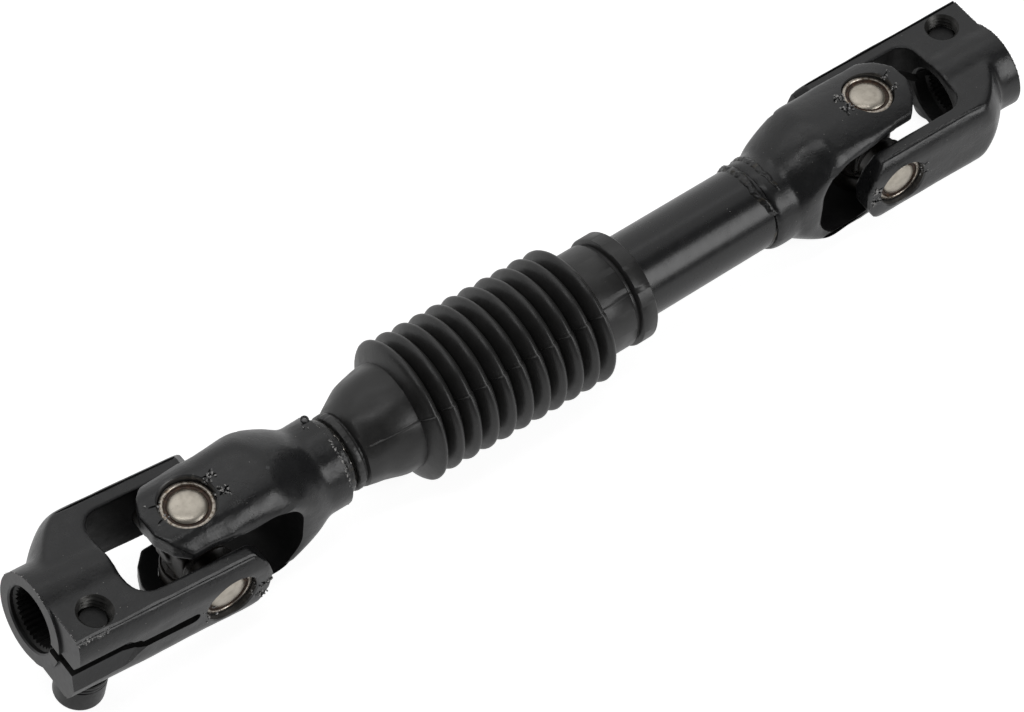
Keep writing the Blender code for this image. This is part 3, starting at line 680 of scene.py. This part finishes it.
def add_piece(name, mesh, materials, degrees, matrix, body, slot, *nodes):
    """New piece with smooth faces, put in its place."""
    piece = new_piece(name, mesh, materials)
    smooth_shade(piece, degrees)
    put(piece, matrix, body, slot, *nodes)


def local_copy(node, name, matrix, materials):
    """Copy of a CAD node's mesh in millimetres of its joint's frame, with its seams welded."""
    mesh = frame["nodes"][node].data.copy()
    mesh.transform(matrix.inverted())
    mesh.materials.clear()
    mesh.polygons.foreach_set("material_index", [0] * len(mesh.polygons))
    close_seams(mesh, 0.001)
    return new_piece(name, mesh, materials)


# Yokes

def ear_plugs(piece, along):
    """Fills the two bearing holes, so that the forging's smooth skin runs across them."""
    for sign in (1, -1):
        plug = cylinder(EAR_HOLE + 0.3, sign * EAR_INNER, sign * (EAR_REACH - 0.05), along, 48)
        combine(piece, plug, "UNION")


def ear_bores(piece, along):
    """Drills both bearing holes, with a chamfer at each mouth."""
    top = EAR_REACH + 3
    wide = EAR_HOLE + HOLE_EDGE
    side = [(EAR_HOLE, 0), (EAR_HOLE, EAR_REACH - HOLE_EDGE), (wide, EAR_REACH), (wide, top)]
    profile = [(0, -top)] + [(r, -h) for r, h in reversed(side)] + side[1:] + [(0, top)]
    combine(piece, lathe("bores", profile, along, slot=1))


def stakes(yoke, end, side, seed):
    """Punched dents beside a cup, crossed on one side of it and plain ticks on the other.
    Returns the lumps of metal and paint that they push up."""
    marks = STAKES[end + "_" + side]
    turned = AXES[CUP_SIDES[side]]
    for turn in (CROSS_TURN, -CROSS_TURN):
        dents = []
        for u, v in marks:
            if u < 0 and turn < 0:
                continue
            size = (2.1, 0.42, 0.8) if u > 0 else (1.5, 0.32, 0.55)
            angle = math.atan2(v, u) + (turn if u > 0 else TICK_TURN)
            dents.append(blob((u * STAKE_OUT, v * STAKE_OUT, EAR_REACH), size, angle))
        dent = together(dents)
        dent.transform(turned)
        combine(yoke, dent)
    chance = random.Random(seed)
    spots = []
    for u, v in marks:
        for turn in (CROSS_TURN, -CROSS_TURN) if u > 0 else (TICK_TURN,):
            angle = math.atan2(v, u) + turn
            for _ in range(10 if u > 0 else 4):
                away = chance.uniform(-2.1, 2.1)
                aside = chance.choice((-0.6, 0.6))
                spots.append((
                    u * STAKE_OUT + away * math.cos(angle) - aside * math.sin(angle),
                    v * STAKE_OUT + away * math.sin(angle) + aside * math.cos(angle),
                    EAR_REACH - 0.1))
        for step in (-1, 0, 1):
            angle = math.atan2(v, u) + step * 0.07
            spots.append((*polar(8.1, angle), EAR_REACH - 0.9 - 0.4 * abs(step)))
    lumps = crumbs("stake_lumps", spots, 0.32, seed, 0.16)
    lumps.transform(turned)
    return lumps


STAKES = {
    "lower_top": [(9.1, 3.3), (9.6, -2.6), (-8.0, 3.6), (-8.6, -1.0)],
    "lower_bottom": [(9.0, -3.0), (9.2, 3.0), (-8.2, 3.2), (-8.4, -2.8)],
    "lower_front": [(10.4, 0.3), (9.9, -4.2), (-7.5, 0.0), (-6.2, -3.3)],
    "lower_back": [(9.6, 1.0), (9.2, -3.6), (-8.2, 0.6), (-7.6, -3.5)],
    "upper_top": [(9.7, 1.6), (9.0, -3.2), (-8.4, 3.5), (-8.3, -1.8)],
    "upper_bottom": [(9.3, 2.2), (9.4, -2.6), (-8.3, 3.0), (-8.5, -2.1)],
    "upper_front": [(9.8, 1.2), (9.4, -3.4), (-8.0, 0.9), (-7.4, -3.2)],
    "upper_back": [(9.7, 0.6), (9.5, -3.8), (-8.1, 0.3), (-7.3, -3.1)],
}


def square_ears(yoke, half, drop, matrix):
    """Fills the ears' round tips out to the forging's squarer outline, under the same crown:
    flat in the middle and falling by drop at its half width."""
    tip = [(0.5, half), (-6.9, half - 0.05), (-10.8, half - 4.0), (-13.3, 3.4)]
    plan = tip + [(x, -y) for x, y in reversed(tip)]
    crown = [(EAR_FLAT + (half - EAR_FLAT) * s, EAR_REACH - 0.02 - drop * s * s)
             for s in (0, 0.25, 0.5, 0.75, 1)]
    crown.append((half, EAR_INNER))
    for sign in (1, -1):
        section = [(y * sign, z * sign) for y, z in crown + [(-y, z) for y, z in reversed(crown)]]
        height = prism("plan", plan, *sorted((14 * sign, 23 * sign)))
        mesh = intersection(prism("crown", section, -14, 0.4, "X"), height)
        mesh.transform(matrix)
        combine(yoke, mesh, "UNION")


def round_window(yoke):
    """Fills the corners of the inner yoke's window to the forging's rounder ones."""
    shoulder = [(0, NECK_END), (NECK_RADIUS, NECK_END)]
    for share in [i / 7 for i in range(8)]:
        radius = NECK_RADIUS + (SHOULDER_RADIUS - NECK_RADIUS) * share ** 0.75
        shoulder.append((radius, SHOULDER_END - SHOULDER_LENGTH * share))
    shoulder += [(SHOULDER_RADIUS, 10), (0, 10)]
    corner = (WINDOW_END - WINDOW_ROUND, EAR_INNER - WINDOW_ROUND)
    outline = arc(corner, WINDOW_ROUND, 90, 0, 12)
    outline += [(WINDOW_END + 1, corner[1]), (WINDOW_END + 1, EAR_INNER + 1),
                (corner[0], EAR_INNER + 1)]
    for sign in (1, -1):
        side = [(x, z * sign) for x, z in outline]
        fill = prism("fill", side, -WINDOW_SIDE, WINDOW_SIDE, "ZX")
        combine(yoke, intersection(fill, lathe("shoulder", shoulder, "X")), "UNION")


def crown_arms(yoke):
    """Rounds the outer faces of the upper inner yoke's arms evenly across their width."""
    crown = [(y, EAR_REACH - y * y / (2 * CROWN_RADIUS)) for y in range(-16, 17)]
    for sign in (1, -1):
        section = [(y, z * sign) for y, z in crown + [(16, EAR_REACH + 5), (-16, EAR_REACH + 5)]]
        combine(yoke, prism("crown", section, -16, SHOULDER_END - 4, "X"))


def inner_yoke(end, seed):
    matrix = FRAMES[end][0]
    body = INNER_BODY[end]
    node = end + "_inner_yoke"
    yoke = local_copy(node, end + "_forged_inner_yoke", matrix, (FORGED, MACHINED, INSIDE_SHADE))
    ear_plugs(yoke, "Z")
    if end == "lower":
        neck = cylinder(NECK_RADIUS, NECK_END - 3, NECK_END + 3, "X")
    else:
        neck = cylinder(COLLAR_RADIUS, 38.5, NECK_END, "X", centre=(0, 0.85, -0.4))
    combine(yoke, neck, "UNION")
    square_ears(yoke, 13.0, 3.6, Matrix())
    round_window(yoke)
    if end == "upper":
        crown_arms(yoke)
    soften(yoke, 7, *OUTER_SMOOTHING[end])
    roughen(yoke, seed)
    # Painted shade: the faces turned to the joint's centre get the darker, duller inside paint
    paint_shade_inside(yoke, 2)
    edge_bands(yoke, (0.906, 0.423), INNER_EDGE, -14.5, 37)
    ear_bores(yoke, "Z")
    lumps = [stakes(yoke, end, "top", seed + 10), stakes(yoke, end, "bottom", seed + 20)]
    if end == "lower":
        combine(yoke, box((NECK_END, -20, -20), (NECK_END + 6, 20, 20), 1))
        lumps.append(neck_burrs())
    smooth_shade(yoke, 16)
    put(yoke, matrix, body, "black_paint", node)
    burrs = new_piece(end + "_inner_burrs", together(lumps), (FLAKES_AND_GLINT, FORGED))
    put(burrs, matrix, body, "black_paint")


def round_shaft(degrees, radius, x):
    """Point round the shaft. 0 degrees is +Y and 90 is +Z."""
    return (x, *polar(radius, math.radians(degrees)))


def neck_burrs():
    """Torn rim of the lower neck: fine flakes all round, more at the front, one curl on top."""
    chance = random.Random(5)
    edge = NECK_RADIUS - 0.1
    rim = [round_shaft(chance.uniform(0, 360), edge, NECK_END - 0.1) for _ in range(110)]
    torn = [round_shaft(chance.uniform(98, 160), edge, NECK_END - chance.uniform(0, 0.7))
            for _ in range(54)]
    wire = arc((0.95, 0.0), 0.34, 0, 330, 12)
    place = round_shaft(55, NECK_RADIUS + 0.55, NECK_END - 1.1)
    curl = lathe("curl", wire, "Z", 32, place, 1)
    curl.shade_smooth()
    spatter = [(44.1, 4.9, 13.3), (43.5, 6.0, 12.9)]
    return together([crumbs("rim", rim, 0.15, 6, 0.12), crumbs("torn", torn, 0.27, 7, 0.15),
                     curl, crumbs("spatter", spatter, 0.3, 9, 0.05)])


def neck_flange():
    """Painted flange of the sliding shaft between the neck and the boot's lip."""
    profile = [(9.6, NECK_END + 0.1), (FLANGE_RADIUS - 0.25, NECK_END + 0.1),
               (FLANGE_RADIUS - 0.1, NECK_END + 0.6)]
    profile += [(FLANGE_RADIUS, NECK_END + 1.2 + 0.35 * i) for i in range(4)]
    profile += [(FLANGE_RADIUS - 0.2, FLANGE_END - 0.15), (FLANGE_RADIUS - 0.3, FLANGE_END + 0.1),
                (9.6, FLANGE_END + 0.1)]

    def torn(angle, radius, height):
        spot = Vector((*polar(6, angle), height))
        return (0.16 * noise.noise(spot * 1.3) - 0.06 if radius > 10 else 0.0, 0.0)

    ring = lathe("flange", profile, "X", 180, shift=torn)
    add_piece("neck_flange_skin", ring, (WELD,), 50, SHAFT_FRAME, "sliding_end", "black_paint")


def thread_mesh(name, radius, low, high, tip=0.0, slot=0):
    """Cylinder with a screw thread about Z, its last tip millimetres tapered at the top."""
    rows = max(2, int((high - low) / (THREAD_PITCH / 8)))
    steps = THREAD_STEPS
    points = []
    for k in range(rows + 1):
        height = low + (high - low) * k / rows
        for i in range(steps):
            share = i / steps
            phase = (height / THREAD_PITCH - share) % 1.0
            groove = THREAD_DEPTH * (1 - abs(2 * phase - 1))
            taper = max(0.0, height - (high - tip)) if tip else 0.0
            here = min(radius - groove, radius - taper)
            points.append((*polar(here, 2 * math.pi * share), height))
    faces = [tuple(range(steps - 1, -1, -1)), tuple(rows * steps + i for i in range(steps))]
    for k in range(rows):
        for i in range(steps):
            j = (i + 1) % steps
            low_edge, high_edge = k * steps, (k + 1) * steps
            faces.append((low_edge + i, low_edge + j, high_edge + j, high_edge + i))
    return closed_mesh(name, points, faces, [slot] * len(faces), Matrix.Translation(BOLT_PLACE))


def serrated_outline():
    points = []
    for i in range(2 * SPLINE_TEETH):
        radius = SPLINE_RADIUS if i % 2 else SPLINE_RADIUS - SPLINE_DEPTH
        points.append(polar(radius, math.pi * i / SPLINE_TEETH))
    return points


def clamp_plugs(yoke):
    """Fills the machined cuts and draws the barrel and block out past their ends."""
    for vertex in yoke.data.vertices:
        if vertex.co.x < -BARREL_END + BLOCK_STEP + 0.3:
            vertex.co.x -= 2.0
    ear_plugs(yoke, "Y")
    barrel = cylinder(SPLINE_RADIUS + 1.5, -BARREL_END - 1.9, -CLAMP_WINDOW_END, "X")
    combine(yoke, barrel, "UNION")
    far = -BARREL_END - 1.15
    near = -SLOT_END + 0.3
    face = -EAR_REACH + 0.02
    for start, end, depth, half in (
            (far, near, -SPLINE_RADIUS, RELIEF_WIDTH),
            (-SLOT_END, -RELIEF_END + 0.3, -EAR_INNER, RELIEF_WIDTH),
            (far, near, -EAR_REACH + 4.5, 5.2)):
        combine(yoke, box((start, face, -half), (end, depth, half)), "UNION")
    bolt = cylinder(BOLT_RADIUS + 1.0, CLAMP_HALF, -CLAMP_HALF, "Z", 48, BOLT_PLACE)
    combine(yoke, bolt, "UNION")


def edge_bands(yoke, normal, distance, low, high):
    """Cuts the flat band along each of the four long edges of a yoke's arms."""
    bands = []
    for side in (1, -1):
        for up in (1, -1):
            outward = Vector((normal[0] * side, normal[1] * up))
            tangent = Vector((-outward.y, outward.x))
            middle = distance * outward
            corners = (middle + 9 * tangent, middle - 9 * tangent, middle + 9 * outward)
            bands.append(prism("band", [tuple(corner) for corner in corners], low, high, "X"))
    combine(yoke, together(bands))


def slot_mouth():
    """Open mouth of the slot: uneven jaws, running out to nothing past the slot's end."""
    back = EAR_REACH + 3.5
    sections = []
    for x, deep, share in ((-BARREL_END - 6, 2.8, 1.0), (-35.0, 2.8, 1.0), (-31.0, 2.0, 0.8),
                           (-28.0, 0.9, 0.6), (-25.5, -0.1, 0.5)):
        tip = -EAR_REACH + deep
        run = share * (tip + back)
        sections.append([(x, tip, 0.0), (x, -back, 1.9 * run), (x, -back, -2.55 * run)])
    points = [point for section in sections for point in section]
    last = 3 * (len(sections) - 1)
    faces = [(0, 1, 2)]
    for k in range(0, last, 3):
        for i in range(3):
            j = (i + 1) % 3
            faces.append((k + i, k + 3 + i, k + 3 + j, k + j))
    faces.append((last, last + 2, last + 1))
    return closed_mesh("mouth", points, faces, [0] * len(faces))


def clamp_cuts(yoke):
    """End faces, splined bore, slot with its open mouth, relief and threaded hole."""
    out = BARREL_END + 6
    wide = 40.0
    combine(yoke, box((-out, -wide, -wide), (-BARREL_END, wide, wide), 1))
    face = -BARREL_END + BLOCK_STEP
    ring = [(BARREL_RADIUS + 0.1, face), (wide, face), (wide, -out), (BARREL_RADIUS + 0.1, -out)]
    combine(yoke, lathe("block_face", ring, "X", slot=1))

    window = -CLAMP_WINDOW_END
    combine(yoke, prism("bore", serrated_outline(), -out, window + 4, "X", 2))
    low = SPLINE_RADIUS - SPLINE_DEPTH
    high = SPLINE_RADIUS + 0.5
    flare = [(0, TEETH_START + 0.9), (low, TEETH_START + 0.9), (high, TEETH_START),
             (high, BORE_CHAMFER), (high + BORE_CHAMFER + 6, -6), (0, -6)]
    mouth = lathe("bore_mouth", moved(flare, 0, -BARREL_END), "X", slots=[2, 2, 2, 1, 1])
    combine(yoke, mouth)
    counter = [(0, -6), (low, -6), (high, -4.7), (high, -0.7), (SPLINE_RADIUS + 4.2, 3), (0, 3)]
    combine(yoke, lathe("bore_inner_mouth", moved(counter, 0, window), "X", slot=2))

    for start, end, half in (
            (-out, -SLOT_END, SLOT_WIDTH / 2),
            (-SLOT_END - 1, -RELIEF_END - RELIEF_WIDTH / 2, RELIEF_WIDTH / 2)):
        slit = [(start, half), (start, -half)] + arc((end, 0), half, -90, 90, 13)
        combine(yoke, prism("slit", slit, -wide, -SPLINE_RADIUS / 2, "ZX", 2))
    combine(yoke, slot_mouth())

    combine(yoke, cylinder(BOLT_RADIUS + 0.4, 0, -CLAMP_HALF - 4, "Z", 64, BOLT_PLACE, 2))
    hole = BOLT_RADIUS + THREAD_GAP
    combine(yoke, thread_mesh("hole_thread", hole, -1.0, CLAMP_HALF + 4, slot=3))
    sink = [(0, -1.0), (hole - THREAD_DEPTH, -1.0), (hole + 0.2, 0), (hole + 4.2, 4), (0, 4)]
    sink = moved(sink, 0, CLAMP_HALF)
    combine(yoke, lathe("hole_chamfer", sink, "Z", 64, BOLT_PLACE, 3))


def clamp_yoke(end, seed):
    matrix = FRAMES[end][2]
    body = end + "_clamp"
    node = end + "_clamp_yoke"
    yoke = local_copy(node, end + "_forged_clamp_yoke", matrix,
                      (FORGED, MACHINED, BORE_SHADE, THREADS, INSIDE_SHADE))
    clamp_plugs(yoke)
    to_clamp = Matrix(((-1, 0, 0, 0), (0, 0, 1, 0), (0, 1, 0, 0), (0, 0, 0, 1)))
    square_ears(yoke, CLAMP_HALF, 2.4, to_clamp)
    soften(yoke, 6, 60, (-60, -26), (-EAR_CORNER, CLAMP_HALF))
    roughen(yoke, seed)
    # Painted shade: the faces turned to the joint's centre get the darker, duller inside paint
    paint_shade_inside(yoke, 4)
    edge_bands(yoke, (0.574, 0.819), CLAMP_EDGE, -BARREL_END - 6, 14.5)
    ear_bores(yoke, "Y")
    clamp_cuts(yoke)
    lumps = [stakes(yoke, end, "front", seed + 10), stakes(yoke, end, "back", seed + 20)]
    chance = random.Random(seed)
    if end == "lower":
        edge = [(chance.uniform(-BARREL_END + 0.9, -40.5),
                 -EAR_CORNER + 0.3 + chance.uniform(-0.7, 0.9), CLAMP_HALF - 0.8)
                for _ in range(90)]
        lumps.append(crumbs("edge", edge, 0.36, seed, 0.25))
    rim = [round_shaft(chance.uniform(20, 150), BARREL_RADIUS - 0.05, -BARREL_END + 0.1)
           for _ in range(50)]
    lumps.append(crumbs("rim", rim, 0.15, seed, 0.1))
    corner = [(-BARREL_END + BLOCK_STEP + 0.1, y, CLAMP_HALF - 0.1)
              for y in np.linspace(-18.5, -8, 26)]
    lumps.append(crumbs("corner", corner, 0.14, seed, 0.15))
    smooth_shade(yoke, 22)
    put(yoke, matrix, body, "black_paint", node)
    put(new_piece(end + "_clamp_burrs", together(lumps), (FLAKES_AND_GLINT,)), matrix, body, "black_paint")


# Bearings, crosses and bolts

def bearing_cup(end, side):
    """Domed cup: a satin disc, a brown groove and a bright rim."""
    along = CUP_SIDES[side]
    matrix, body = FRAMES[end][2], end + "_clamp"
    if "Z" in along:
        matrix, body = FRAMES[end][0], INNER_BODY[end]
    dome = [(DISC_RADIUS * i / 12, CUP_FACE + 0.5 - 0.25 * (i / 12) ** 2 - 0.75 * (i / 12) ** 6)
            for i in range(13)]
    rim = DISC_RADIUS + GROOVE_WIDTH
    wall = CUP_RADIUS - CUP_WALL
    profile = dome + moved([
        (DISC_RADIUS + 0.12, -0.65), (DISC_RADIUS + 0.2, -0.8), (rim - 0.15, -0.8), (rim, -0.2),
        (rim + 0.25, 0), (CUP_RADIUS - 0.45, 0), (CUP_RADIUS - 0.12, -0.15), (CUP_RADIUS, -0.5),
        (CUP_RADIUS, 0.4 - CUP_LENGTH), (CUP_RADIUS - 0.3, -CUP_LENGTH), (wall, -CUP_LENGTH),
        (wall, -CUP_FLOOR), (0, -CUP_FLOOR)], 0, CUP_FACE)
    slots = [0] * 12 + [1] * 4 + [2] * 4 + [3] * 5
    name = end + "_" + side + "_cup"
    add_piece(name + "_turned", lathe("cup", profile, along, slots=slots),
              (CUP_CASE, CUP_GROOVE, CUP_RIM, DARK), 38, matrix, body, "cup_steel", name)


def universal_cross(end):
    """Forged hub and trunnions, of which only the middle shows between the yokes."""
    matrix = FRAMES[end][1]
    node = end + "_cross"
    cross = local_copy(node, end + "_forged_cross", matrix, (DARK,))
    soften(cross, 5)
    smooth_shade(cross, 40)
    put(cross, matrix, node, "dark_steel", node)


def pinch_bolt(end):
    """Threaded shank with a chamfered tip, under a smooth head with a hexagon socket, and the
    washer under the head."""
    matrix = FRAMES[end][2]
    head_top = WASHER_TOP - WASHER_THICKNESS - 0.3
    head_low = head_top - HEAD_HEIGHT
    shank = thread_mesh("bolt", BOLT_RADIUS, head_top - 1, CLAMP_HALF - TIP_DEPTH, 1.1)
    bolt = new_piece(end + "_threaded_bolt", shank, (BLACK,))
    rim = [(-0.3, 0), (0, -0.3), (0, -0.9), (-0.3, -1.1), (-0.3, -1.4), (0, -1.6)]
    head = [(0, head_top)] + moved(rim, HEAD_RADIUS, head_top)
    head += arc((HEAD_RADIUS - HEAD_ROUND, head_low + HEAD_ROUND), HEAD_ROUND, 0, -90, 9)
    head.append((0, head_low))
    combine(bolt, lathe("head", head, centre=BOLT_PLACE), "UNION")
    hexagon = arc((-BOLT_X, -BOLT_Y), SOCKET_FLATS / math.sqrt(3), 0, 300, 6)
    combine(bolt, prism("socket", hexagon, head_low - 2, head_low + SOCKET_DEPTH))
    smooth_shade(bolt, 30)
    put(bolt, matrix, end + "_bolt", "dark_steel", end + "_pinch_bolt")

    inner = BOLT_RADIUS + 0.3
    low = WASHER_TOP - WASHER_THICKNESS
    washer = [(inner, WASHER_TOP), (WASHER_RADIUS - 0.25, WASHER_TOP),
              (WASHER_RADIUS, WASHER_TOP - 0.25), (WASHER_RADIUS, low + 0.35),
              (WASHER_RADIUS - 0.35, low), (inner, low)]
    add_piece(end + "_plain_washer", lathe("washer", washer, centre=BOLT_PLACE), (BLACK,), 32,
              matrix, end + "_washer", "dark_steel", end + "_pinch_washer")


# Boot, tube and welds

def boot_outline():
    """Outer side of the boot as (radius, x), with rounded ridges and valleys."""
    lip = [(-0.6, 0), (-0.1, 0.35), (0, 0.8), (0, 2.0), (-0.15, 2.5), (-0.8, 2.9), (-0.8, 3.3)]
    points = moved(lip, LIP_RADIUS, BOOT_START)
    bell_start = BOOT_START + LIP_LENGTH
    pitch = (CUFF_START - FIRST_RIDGE) / (RIDGE_COUNT - 0.5)
    bell_end = FIRST_RIDGE - pitch / 2
    root = LIP_RADIUS + 0.4
    bell_steps = 14
    for i in range(bell_steps + 1):
        share = i / bell_steps
        radius = root + (BELL_RADIUS - root) * math.sin(share * math.pi / 2)
        points.append((radius, bell_start + (bell_end - bell_start) * share))
    ridge_steps = 16
    for k in range(RIDGE_COUNT):
        crest = FIRST_RIDGE_RADIUS if k == 0 else RIDGE_RADIUS
        start = FIRST_RIDGE + pitch * (k - 0.5)
        low_before = BELL_RADIUS if k == 0 else VALLEY_RADIUS
        low_after = CUFF_RADIUS if k == RIDGE_COUNT - 1 else VALLEY_RADIUS
        for i in range(1, ridge_steps + 1):
            share = i / ridge_steps
            low = low_before if share < 0.5 else low_after
            swell = math.sin(math.pi * share) ** 0.9
            points.append((low + (crest - low) * swell, start + pitch * share))
    groove = CUFF_START + CUFF_LENGTH
    band = groove + CUFF_GROOVE_WIDTH
    end = band + BAND_LENGTH
    return points + [
        (CUFF_RADIUS, CUFF_START + 1.0), (CUFF_RADIUS, groove - 0.3), (CUFF_RADIUS - 0.3, groove),
        (CUFF_RADIUS - CUFF_GROOVE, groove + 0.4), (CUFF_RADIUS - CUFF_GROOVE, band - 0.2),
        (BAND_RADIUS - 0.4, band), (BAND_RADIUS, band + 0.4), (BAND_RADIUS, end - 0.5),
        (BAND_RADIUS - 0.5, end)]


def boot_shift(angle, radius, height):
    """Lean, tilt and unevenness of the boot, with a thin line of flash where the mould's halves
    met and the small step between them."""
    away = min(abs(math.remainder(angle - PARTING_ANGLE - turn, 2 * math.pi))
               for turn in (0, math.pi))
    step = 2 * math.pi / BOOT_STEPS
    flash = 0.0
    if height > BOOT_START + LIP_LENGTH:
        flash = 0.1 if away < 0.6 * step else -0.1 if away < 1.6 * step else 0.0
    first_half = math.sin(angle - PARTING_ANGLE) > 0
    ridged = FIRST_RIDGE - 4 < height < CUFF_START - 1
    spot = Vector((*polar(radius, angle), height))
    wave = (0.1 if height > FIRST_RIDGE - 4 else 0.35) * noise.noise(spot / 6)
    if height < BOOT_START + LIP_LENGTH:
        wave += 0.14 * noise.noise(spot / 0.9)
    side = math.cos(angle - LEAN_ANGLE)
    lean = float(np.interp(height, *BOOT_LEAN)) * side
    tilt = float(np.interp(height, *BOOT_TILT)) * side * radius / RIDGE_RADIUS
    return flash + wave + lean, tilt + ((0.22 if first_half else -0.1) if ridged else 0.0)


def bellows_boot():
    outer = boot_outline()
    end = outer[-1][1]
    inner = [(TUBE_RADIUS + 0.3, end), (TUBE_RADIUS + 0.3, CUFF_START)]
    inner += [(radius - BOOT_WALL, x) for radius, x in reversed(outer) if 58 < x < CUFF_START - 1]
    inner += [(10.2, BOOT_START + LIP_LENGTH), (10.2, BOOT_START)]
    mesh = lathe("boot", outer + inner, "X", BOOT_STEPS, shift=boot_shift)
    boot = new_piece("rubber_bellows_boot", mesh, (RUBBER,))
    smooth_shade(boot, 45)
    boot.data.transform(SHAFT_FRAME)
    boot.data.update()
    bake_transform(boot)
    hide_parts("bellows_boot")


def shaft_tube():
    start = 133.0
    end = JOINT_DISTANCE - NECK_END - 0.3
    first = start + 0.4
    count = 24
    profile = [(TUBE_RADIUS - 0.4, start)]
    profile += [(TUBE_RADIUS, first + (end - start - 0.4) * i / count) for i in range(count + 1)]
    profile += [(TUBE_BORE, end), (TUBE_BORE, first), (TUBE_BORE + 0.4, start)]
    add_piece("drawn_tube", lathe("tube", profile, "X"), (TUBE_PAINT,), 32, SHAFT_FRAME, "tube",
              "tube_paint", "shaft_tube")
    spots = [round_shaft(105 + 2.2 * i, TUBE_RADIUS, 192.3 + 0.15 * i) for i in range(4)]
    flecks = new_piece("paint_flecks", crumbs("flecks", spots, 0.13, 12, 0.2), (FLAKES_AND_GLINT,))
    put(flecks, SHAFT_FRAME, "tube", "tube_paint")


def weld_bead(name, node, radius, path, seed):
    """Uneven ring of weld. The path gives (degrees, x, half width, height) round the shaft."""
    count = 12
    section = [(radius + math.sin(math.pi * i / count) ** 0.8, 2 * i / count - 1)
               for i in range(count + 1)]
    section += [(radius - 0.5, 1.0), (radius - 0.5, -1.0)]
    places = np.array(path, dtype=float)
    places = np.vstack([places[-1] - (360, 0, 0, 0), places, places[0] + (360, 0, 0, 0)])

    def flow(angle, out, across):
        degrees = (math.degrees(angle) + LATHE_START) % 360
        middle, half, height = (float(np.interp(degrees, places[:, 0], places[:, k]))
                                for k in (1, 2, 3))
        spot = Vector((*polar(radius, angle), across * half + seed * 31))
        rough = 0.5 * noise.noise(spot / 1.9) + 0.35 * noise.noise(spot / 0.7)
        rise = max(0.0, out - radius)
        sway = 0.45 * noise.noise(Vector((*polar(5, angle), seed * 7)))
        x = middle + sway + across * half * (1 + 0.3 * noise.noise(spot / 1.3)) - across
        return (rise * (height * (1 + rough) - 1) if rise > 0 else 0.0), x

    mesh = lathe(name, section, "X", 300, shift=flow)
    add_piece(name, mesh, (WELD,), 60, SHAFT_FRAME, "tube", "weld_metal", node)


# Set the scene

def make_camera():
    turn = Matrix.Rotation(CAMERA_TURN.length, 3, CAMERA_TURN.normalized())
    right, up, back = turn[0], -turn[1], -turn[2]
    data = bpy.data.cameras.new("camera")
    data.sensor_width = SENSOR_WIDTH
    data.lens = FOCAL_PIXELS * SENSOR_WIDTH / PHOTO_WIDTH
    data.clip_end = 20
    camera = bpy.data.objects.new("camera", data)
    camera.matrix_world = Matrix((right, up, back)).transposed().to_4x4()
    camera.location = SHAFT_FRAME.translation + CAMERA_PLACE
    bpy.context.scene.collection.objects.link(camera)
    bpy.context.scene.camera = camera


def soft_light(name, place, target, size, radiance):
    """Rectangular soft box of an even brightness, facing its target."""
    data = bpy.data.lights.new(name, "AREA")
    data.shape = "RECTANGLE"
    data.size, data.size_y = size
    data.energy = radiance * math.pi * size[0] * size[1]
    light = bpy.data.objects.new(name, data)
    light.location = place
    light.rotation_euler = (Vector(target) - Vector(place)).to_track_quat("-Z", "Y").to_euler()
    light.visible_camera = False
    bpy.context.scene.collection.objects.link(light)


def make_floor():
    """Pale floor, which throws less light back onto the part than it shows."""
    solid = bmesh.new()
    bmesh.ops.create_circle(solid, cap_ends=True, segments=96, radius=8.0)
    finish = Finish("white_sweep", (0.45, 0.45, 0.45), 0.8)
    finish.shader.inputs["Emission Color"].default_value = (1, 1, 1, 1)
    distance = finish.node("VectorMath")
    distance.operation = "LENGTH"
    finish.link(finish.place, distance.inputs[0])
    glow = finish.node("MapRange", From_Min=0.5, From_Max=1.6, To_Min=0.87, To_Max=0.45)
    finish.link(distance.outputs["Value"], glow.inputs["Value"])
    seen = finish.node("MapRange", To_Min=FLOOR_BOUNCE)
    finish.link(finish.node("LightPath").outputs["Is Camera Ray"], seen.inputs["Value"])
    strength = finish.multiply(glow.outputs["Result"], seen.outputs["Result"])
    finish.link(strength, finish.shader.inputs["Emission Strength"])
    new_piece("floor", mesh_of(solid, "floor"), (finish.material,))


def make_world():
    """Dim surroundings, so that dark gaps lie between the soft boxes, though pale to look at."""
    world = bpy.data.worlds.new("studio")
    world.use_nodes = True
    tree = world.node_tree
    background = tree.nodes["Background"]
    background.inputs["Color"].default_value = (1, 1, 1, 1)
    strength = tree.nodes.new("ShaderNodeMapRange")
    strength.inputs["To Min"].default_value = 0.08
    strength.inputs["To Max"].default_value = 0.9
    light_path = tree.nodes.new("ShaderNodeLightPath")
    tree.links.new(light_path.outputs["Is Camera Ray"], strength.inputs["Value"])
    tree.links.new(strength.outputs["Result"], background.inputs["Strength"])
    bpy.context.scene.world = world


make_camera()
make_world()
make_floor()
soft_light("back_sheet", (0.25, 2.05, 1.24), (0, 0, 0), (6.5, 3.2), 0.66)
soft_light("top_box", (0.45, 0.7, 1.7), (0, 0, 0), (3.0, 0.9), 0.6)
soft_light("left_box", (-0.35, 0.08, 1.35), (0, 0, 0), (0.25, 1.3), 3.2)
soft_light("front_box", (0.52, -0.97, 0.69), (0, 0, 0.02), (0.75, 0.75), 3.5)
bpy.context.scene.view_settings.view_transform = "Standard"

for number, end in enumerate(("lower", "upper")):
    inner_yoke(end, number + 1)
    clamp_yoke(end, number + 3)
    for side in CUP_SIDES:
        bearing_cup(end, side)
    universal_cross(end)
    pinch_bolt(end)
bellows_boot()
shaft_tube()
neck_flange()
weld_bead("tube_side_bead", "tube_weld_bead", TUBE_RADIUS, TUBE_BEAD, 1)
weld_bead("yoke_side_bead", "yoke_weld_bead", NECK_RADIUS, YOKE_BEAD, 2)

for name, node in frame["nodes"].items():
    if node.hide_render:
        continue
    finish = BARE
    if name.endswith("_seal") or name.endswith("_wiper"):
        finish = SEAL
    if name.endswith("_sleeve"):
        finish = NYLON
    for slot in range(len(node.data.materials)):
        node.data.materials[slot] = finish
